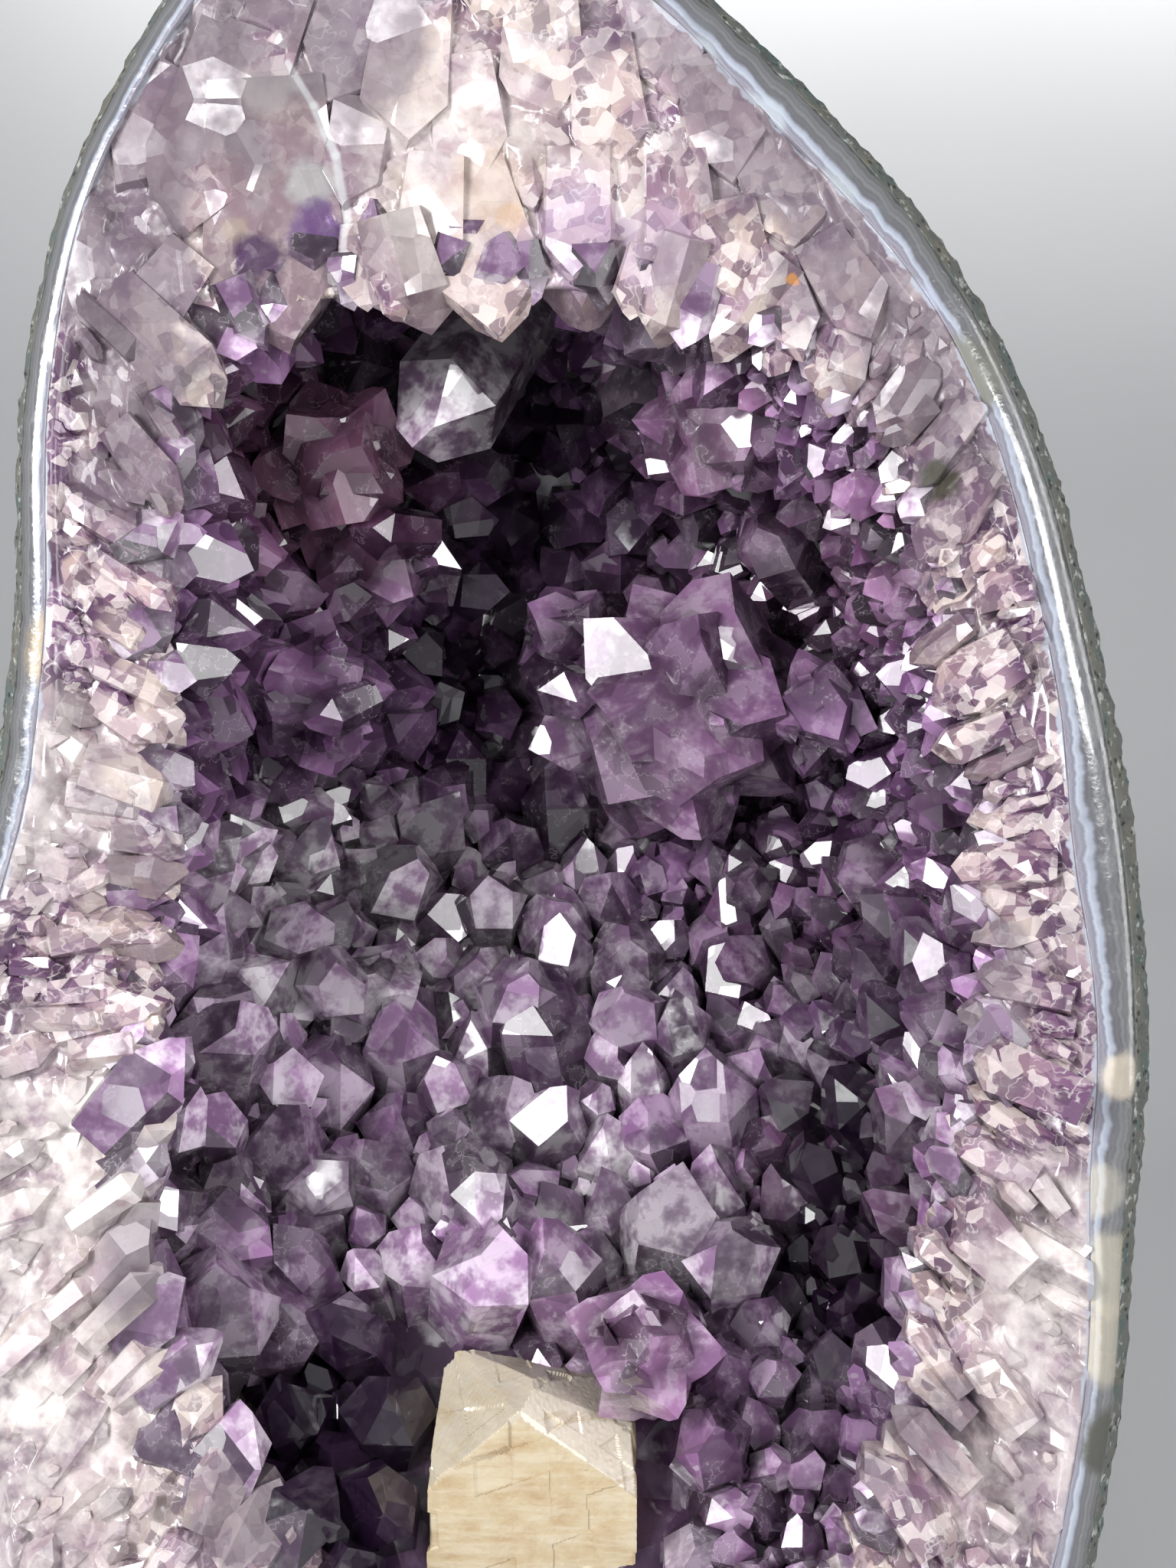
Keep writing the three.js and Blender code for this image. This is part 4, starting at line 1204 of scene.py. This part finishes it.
def bed_finish():
    """Milky quartz. The bed goes from purple at the agate to milky inside, and each crystal has its own
    colour. Shards, streaks and fine cracks break it up, and the rim's areas make it milky or dark."""
    f = Finish("milky_quartz", Coat_Weight=0.3, Coat_Roughness=0.05, Ior=1.545)
    reach, hollow, tone, clear = f.look()
    column, inset = f.map()
    dark, white = f.map("areas")
    cloud = f.noise(6, 3, 0.6)
    waver = f.plus(cloud, -0.5)
    along_column = f.join(f.times(f.plus(column, f.times(waver, 0.8)), 5.0), f.times(inset, 0.16))
    streak = f.noise(1, 2, 0.65, along_column)
    calm = f.times(f.spread(white, 0.1, 0.6, 1.0, 0.3), f.spread(clear, 0.5, 0.9, 1.0, 0.4))
    small_tone = f.shards(2.6)[1]
    large_shard, large_tone = f.shards(8)
    f.colour = f.bands(f.times(f.plus(inset, f.times(waver, 12.0)), 1 / 60), [
        (0.0, (0.11, 0.07, 0.11)), (0.1, (0.065, 0.027, 0.075)), (0.25, (0.155, 0.085, 0.145)),
        (0.42, (0.27, 0.185, 0.21)), (0.65, (0.33, 0.265, 0.265)), (1.0, (0.35, 0.285, 0.275))])
    own = f.bands(tone, [
        (0.0, (0.045, 0.018, 0.05)), (0.25, (0.13, 0.065, 0.13)), (0.45, (0.26, 0.155, 0.21)),
        (0.62, (0.33, 0.225, 0.3)), (0.78, (0.4, 0.29, 0.3)), (1.0, (0.47, 0.385, 0.38))])
    f.paint(own, f.spread(reach, 0.02, 0.2))
    f.paint((0.24, 0.12, 0.26), f.spread(f.noise(13, 1), 0.5, 0.64, 0, 0.4))
    f.paint((0.12, 0.05, 0.13), calm, f.spread(large_tone, 0.66, 0.8, 0, 0.5))
    f.paint((0.62, 0.51, 0.54), calm, f.spread(large_tone, 0.36, 0.2, 0, 0.4))
    f.paint((0.055, 0.02, 0.065), calm, f.spread(small_tone, 0.7, 0.78, 0, 0.6))
    f.paint((0.8, 0.72, 0.76), calm, f.spread(small_tone, 0.3, 0.22, 0, 0.5))
    f.paint((0.72, 0.6, 0.66), f.spread(streak, 0.52, 0.64, 0, 0.3))
    glassy = f.spread(clear, 0.6, 0.9)
    f.paint(f.mix(cloud, (0.08, 0.05, 0.08), (0.56, 0.46, 0.5)), glassy, 0.4)
    crack = f.spread(f.maths("ABSOLUTE", f.plus(f.noise(5, 2, 0.6), -0.5)), 0.0, 0.022, 1, 0)
    f.paint((0.85, 0.8, 0.85), crack, f.spread(waver, -0.08, 0.04), calm, 0.4)
    # Milky areas: partly milky quartz, and partly painted glare and sheen where the rim's areas say.
    milky = f.mix(cloud, (0.46, 0.39, 0.42), (0.78, 0.73, 0.77))
    f.paint(milky, white, f.spread(waver, -0.2, 0.1, 0.25, 0.85))
    shaded = f.spread(f.plus(dark, f.times(waver, 1.4)), 0.15, 0.75)
    f.paint(f.mix(cloud, (0.09, 0.06, 0.1), (0.22, 0.18, 0.22)), shaded, 0.8)
    # Painted sheen: the two grey-white spots at -47, 291 and -54, 309 paint a grey reflection on the large
    # clear crystal's upper part.
    f.stains([
        (-47, 291, 6, (0.5, 0.51, 0.55), 0.6), (-54, 309, 7, (0.42, 0.38, 0.42), 0.5),
        (-60, 283, 4, (0.42, 0.34, 0.24), 0.4), (-13.5, 290, 9, (0.5, 0.36, 0.25), 0.3),
        (-10, 285, 4, (0.5, 0.28, 0.1), 0.3), (40.7, 273, 1.6, (0.6, 0.25, 0.06), 0.8),
        (2, 281, 12, (0.4, 0.29, 0.48), 0.4), (16, 279, 10, (0.42, 0.3, 0.48), 0.4),
        (-56.6, 278, 6.5, (0.05, 0.015, 0.08), 0.85), (-46, 283, 7, (0.1, 0.03, 0.2), 0.75),
        (66, 237, 5, (0.05, 0.05, 0.035), 0.9)], wobble=0.5)
    for start, end, width, share in (
            ((-51, 313), (-46, 305), 0.9, 0.5), ((-46, 305), (-42, 296), 1.2, 0.6),
            ((-42, 296), (-40, 285), 1.2, 0.6), ((-40, 285), (-41, 272), 0.9, 0.5)):
        f.paint((0.66, 0.67, 0.75), f.stroke(start, end, width), share)
    f.colour = f.vectors("MULTIPLY", f.colour, (0.98, 0.99, 0.9))
    # Painted shade: nearly black over the hollow's wall and the deep parts of the rim's crystals.
    f.paint(f.mix(cloud, (0.015, 0.006, 0.02), (0.07, 0.03, 0.07)), hollow)
    f.paint((0.36, 0.37, 0.43), f.spread(f.plus(inset, f.times(waver, 5.0)), 0.8, 0.2))
    f.set("Transmission Weight", f.times(glassy, 0.3))
    f.bump(large_shard, 3.6)
    return f.done(f.plus(f.spread(waver, -0.15, 0.18, 0.06, 0.35), f.times(shaded, 0.15)))


def amethyst_finish():
    """Purple quartz, see-through and tinted in its depth. Clouds, shards, veils and frost vary it, each
    facet has its own painted light and shade, the brightest carry painted glints of white specks among dark
    crumbly specks, crystals are darker at their feet, and painted shade makes them nearly black where the
    hollow is dark."""
    f = Finish("amethyst", Ior=1.545, Transmission_Weight=0.2, Coat_Weight=0.4, Coat_Roughness=0.02,
               Coat_Ior=1.6)
    reach, dark, tone, pale = f.look()
    red, facet = f.map()
    large_shard, large_tone = f.shards(7)
    cloud = f.noise(6, 3, 0.65)
    specks = f.noise(2.2, 1)
    crumbled_and_glinting = f.spread(facet, 0.72, 0.8)
    f.colour = f.mix(tone, (0.06, 0.02, 0.072), (0.3, 0.15, 0.32))
    f.paint((0.42, 0.25, 0.44), f.spread(cloud, 0.4, 0.64, 0, 0.6))
    f.paint((0.045, 0.014, 0.055), f.spread(large_tone, 0.6, 0.75, 0, 0.6))
    f.paint(f.mix(tone, (0.06, 0.014, 0.035), (0.29, 0.12, 0.18)), red, 0.75)
    f.paint((0.15, 0.125, 0.15), f.spread(tone, 0.14, 0.06, 0, 0.7))
    frost = f.mix(f.spread(cloud, 0.38, 0.62), (0.4, 0.28, 0.4), (0.9, 0.84, 0.89))
    frost = f.mix(f.spread(reach, 0.5, 1.0, 0, 0.5), frost, (0.36, 0.22, 0.37))
    f.paint(frost, pale, f.spread(cloud, 0.35, 0.6, 0.6, 1.0))
    # Painted light and shade: each facet's brightness scales the colour; crystals are also darker at their
    # feet.
    strength = f.times(f.spread(facet, 0.0, 1.0, 0.45, 1.75), f.spread(reach, 0.0, 0.8, 0.45, 1.2))
    f.colour = f.vectors("SCALE", f.colour, scale=strength)
    f.paint((0.68, 0.56, 0.68), f.spread(f.maths("ABSOLUTE", f.plus(cloud, -0.57)), 0.012, 0.0), 0.45)
    # Painted glints: white specks on the brightest facets, with dark crumbly specks among them.
    f.paint((0.8, 0.74, 0.78), crumbled_and_glinting, f.spread(specks, 0.66, 0.7), 0.4)
    f.paint((0.03, 0.01, 0.035), crumbled_and_glinting, f.spread(specks, 0.34, 0.2, 0, 0.22))
    # Painted shade: nearly black where the hollow's areas, its depth and the roof make it dark.
    f.paint((0.008, 0.003, 0.012), dark, 0.95)
    f.bump(large_shard, 2.6)
    absorbed = f.node("VolumeAbsorption", {"Color": (0.66, 0.4, 0.66), "Density": 150.0})
    f.put(f.tree.nodes["Material Output"].inputs["Volume"], absorbed.outputs[0])
    return f.done(f.spread(cloud, 0.4, 0.7, 0.04, 0.2))


def calcite_finish():
    """Cream calcite: each plane has its own painted brightness, a painted light and shade, with thin level
    layers and a frosted place.
    """
    f = Finish("calcite", Ior=1.6, Coat_Weight=0.3, Coat_Roughness=0.08)
    level = f.node("Mapping", {"Vector": f.place, "Scale": (60, 60, 420)}).outputs[0]
    layers = f.noise(1, 4, 0.6, level)
    cloud = f.noise(6, 4, 0.6)
    # Painted light and shade: the colour bands follow each plane's painted brightness.
    f.colour = f.bands(f.plus(f.map()[0], f.times(f.plus(cloud, -0.5), 0.8)), [
        (0.0, (0.37, 0.25, 0.13)), (0.25, (0.46, 0.37, 0.23)), (0.5, (0.47, 0.41, 0.31)),
        (0.7, (0.46, 0.42, 0.35)), (1.0, (0.72, 0.65, 0.54))])
    f.paint((0.58, 0.52, 0.4), f.spread(layers, 0.45, 0.6, 0, 0.4))
    f.paint((0.42, 0.3, 0.16), f.spread(layers, 0.42, 0.3, 0, 0.5))
    frosted = f.maths("MAXIMUM", f.spot(-24, 66, 15, 0.3), f.spot(-26, 50, 11, 0.3))
    f.paint((0.28, 0.25, 0.24), frosted, f.spread(cloud, 0.35, 0.55, 0.55, 0.95))
    f.bump(f.plus(layers, f.times(f.noise(1.5, 3, 0.7), f.times(frosted, 3.0))), 0.15)
    return f.done(f.spread(cloud, 0.35, 0.65, 0.18, 0.5))


def floor_finish():
    """Plain pale paper with very faint clouds."""
    f = Finish("pale_floor")
    f.colour = f.mix(f.noise(300, 2), (0.6, 0.605, 0.61), (0.64, 0.645, 0.65))
    return f.done(0.7)


for piece, material, node, slot in (
        (basalt_skin(), basalt_finish(), "basalt_rind", "basalt"),
        (agate_rim(), agate_finish(), "agate_band", "agate"),
        (quartz_bed(), bed_finish(), "amethyst_crust", "amethyst"),
        (amethyst_points(), amethyst_finish(), "amethyst_crust", "amethyst"),
        (calcite_block(), calcite_finish(), "calcite_crystal", "calcite")):
    piece.data.materials.clear()
    piece.data.materials.append(material)
    piece.data.polygons.foreach_set("material_index", np.zeros(len(piece.data.polygons), dtype=np.int32))
    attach(piece, "root")
    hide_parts(node)


# Stage, light and camera

def area_light(name, place, aim, size, radiance, spread=180):
    """A soft rectangular light whose surface sends out the given radiance within a spread in degrees."""
    data = bpy.data.lights.new(name, "AREA")
    data.shape = "RECTANGLE"
    data.size, data.size_y = size
    data.energy = radiance * np.pi * size[0] * size[1]
    data.spread = np.radians(spread)
    lamp = bpy.data.objects.new(name, data)
    lamp.location = place
    lamp.rotation_euler = (Vector(aim) - Vector(place)).to_track_quat("-Z", "Y").to_euler()
    bpy.context.scene.collection.objects.link(lamp)


def stage():
    """A pale floor that curves up into a backdrop behind the object."""
    sweep = steps(16, 0, np.pi / 2)[:, 0]
    y = np.concatenate([[-1.5], 0.9 + 0.5 * np.sin(sweep), [1.4]])
    z = np.concatenate([[0], 0.5 - 0.5 * np.cos(sweep), [2.5]]) - 0.0002
    x = np.array([-2.0, 2.0])
    points = np.stack(np.broadcast_arrays(x, y[:, None], z[:, None]), -1).reshape(-1, 3)
    i = 2 * np.arange(len(y) - 1)
    mesh = bpy.data.meshes.new("floor")
    mesh.from_pydata(points, [], np.stack([i, i + 1, i + 3, i + 2], -1).tolist())
    mesh.polygons.foreach_set("use_smooth", np.ones(len(mesh.polygons), bool))
    mesh.materials.append(floor_finish())
    floor = bpy.data.objects.new("floor", mesh)
    bpy.context.scene.collection.objects.link(floor)


stage()
world = bpy.data.worlds.new("studio")
world.use_nodes = True
world.node_tree.nodes["Background"].inputs["Color"].default_value = (0.94, 0.96, 1, 1)
world.node_tree.nodes["Background"].inputs["Strength"].default_value = 0.42
bpy.context.scene.world = world
bpy.context.scene.view_settings.view_transform = "Standard"

aim = to_row(FRAME_MIDDLE)
area_light("left_window", WINDOWS[0], aim, (0.32, 0.32), 30)
area_light("right_window", WINDOWS[1], aim, (0.28, 0.28), 18)
area_light("low_window", (-0.44, -0.9, 0.12), aim, (0.16, 0.2), 10)
area_light("side_strip", (0.62, -0.32, 0.35), aim, (0.1, 0.6), 6)
area_light("backdrop_light", (0.25, 0.9, 1.0), (0.25, 1.4, 0.78), (1.6, 0.15), 4.6, spread=70)

camera = bpy.data.objects.new("camera", bpy.data.cameras.new("camera"))
camera.data.lens = LENS
camera.location = camera_place
camera.rotation_euler = Vector(toward_camera).to_track_quat("Z", "Y").to_euler()
bpy.context.scene.collection.objects.link(camera)
bpy.context.scene.camera = camera
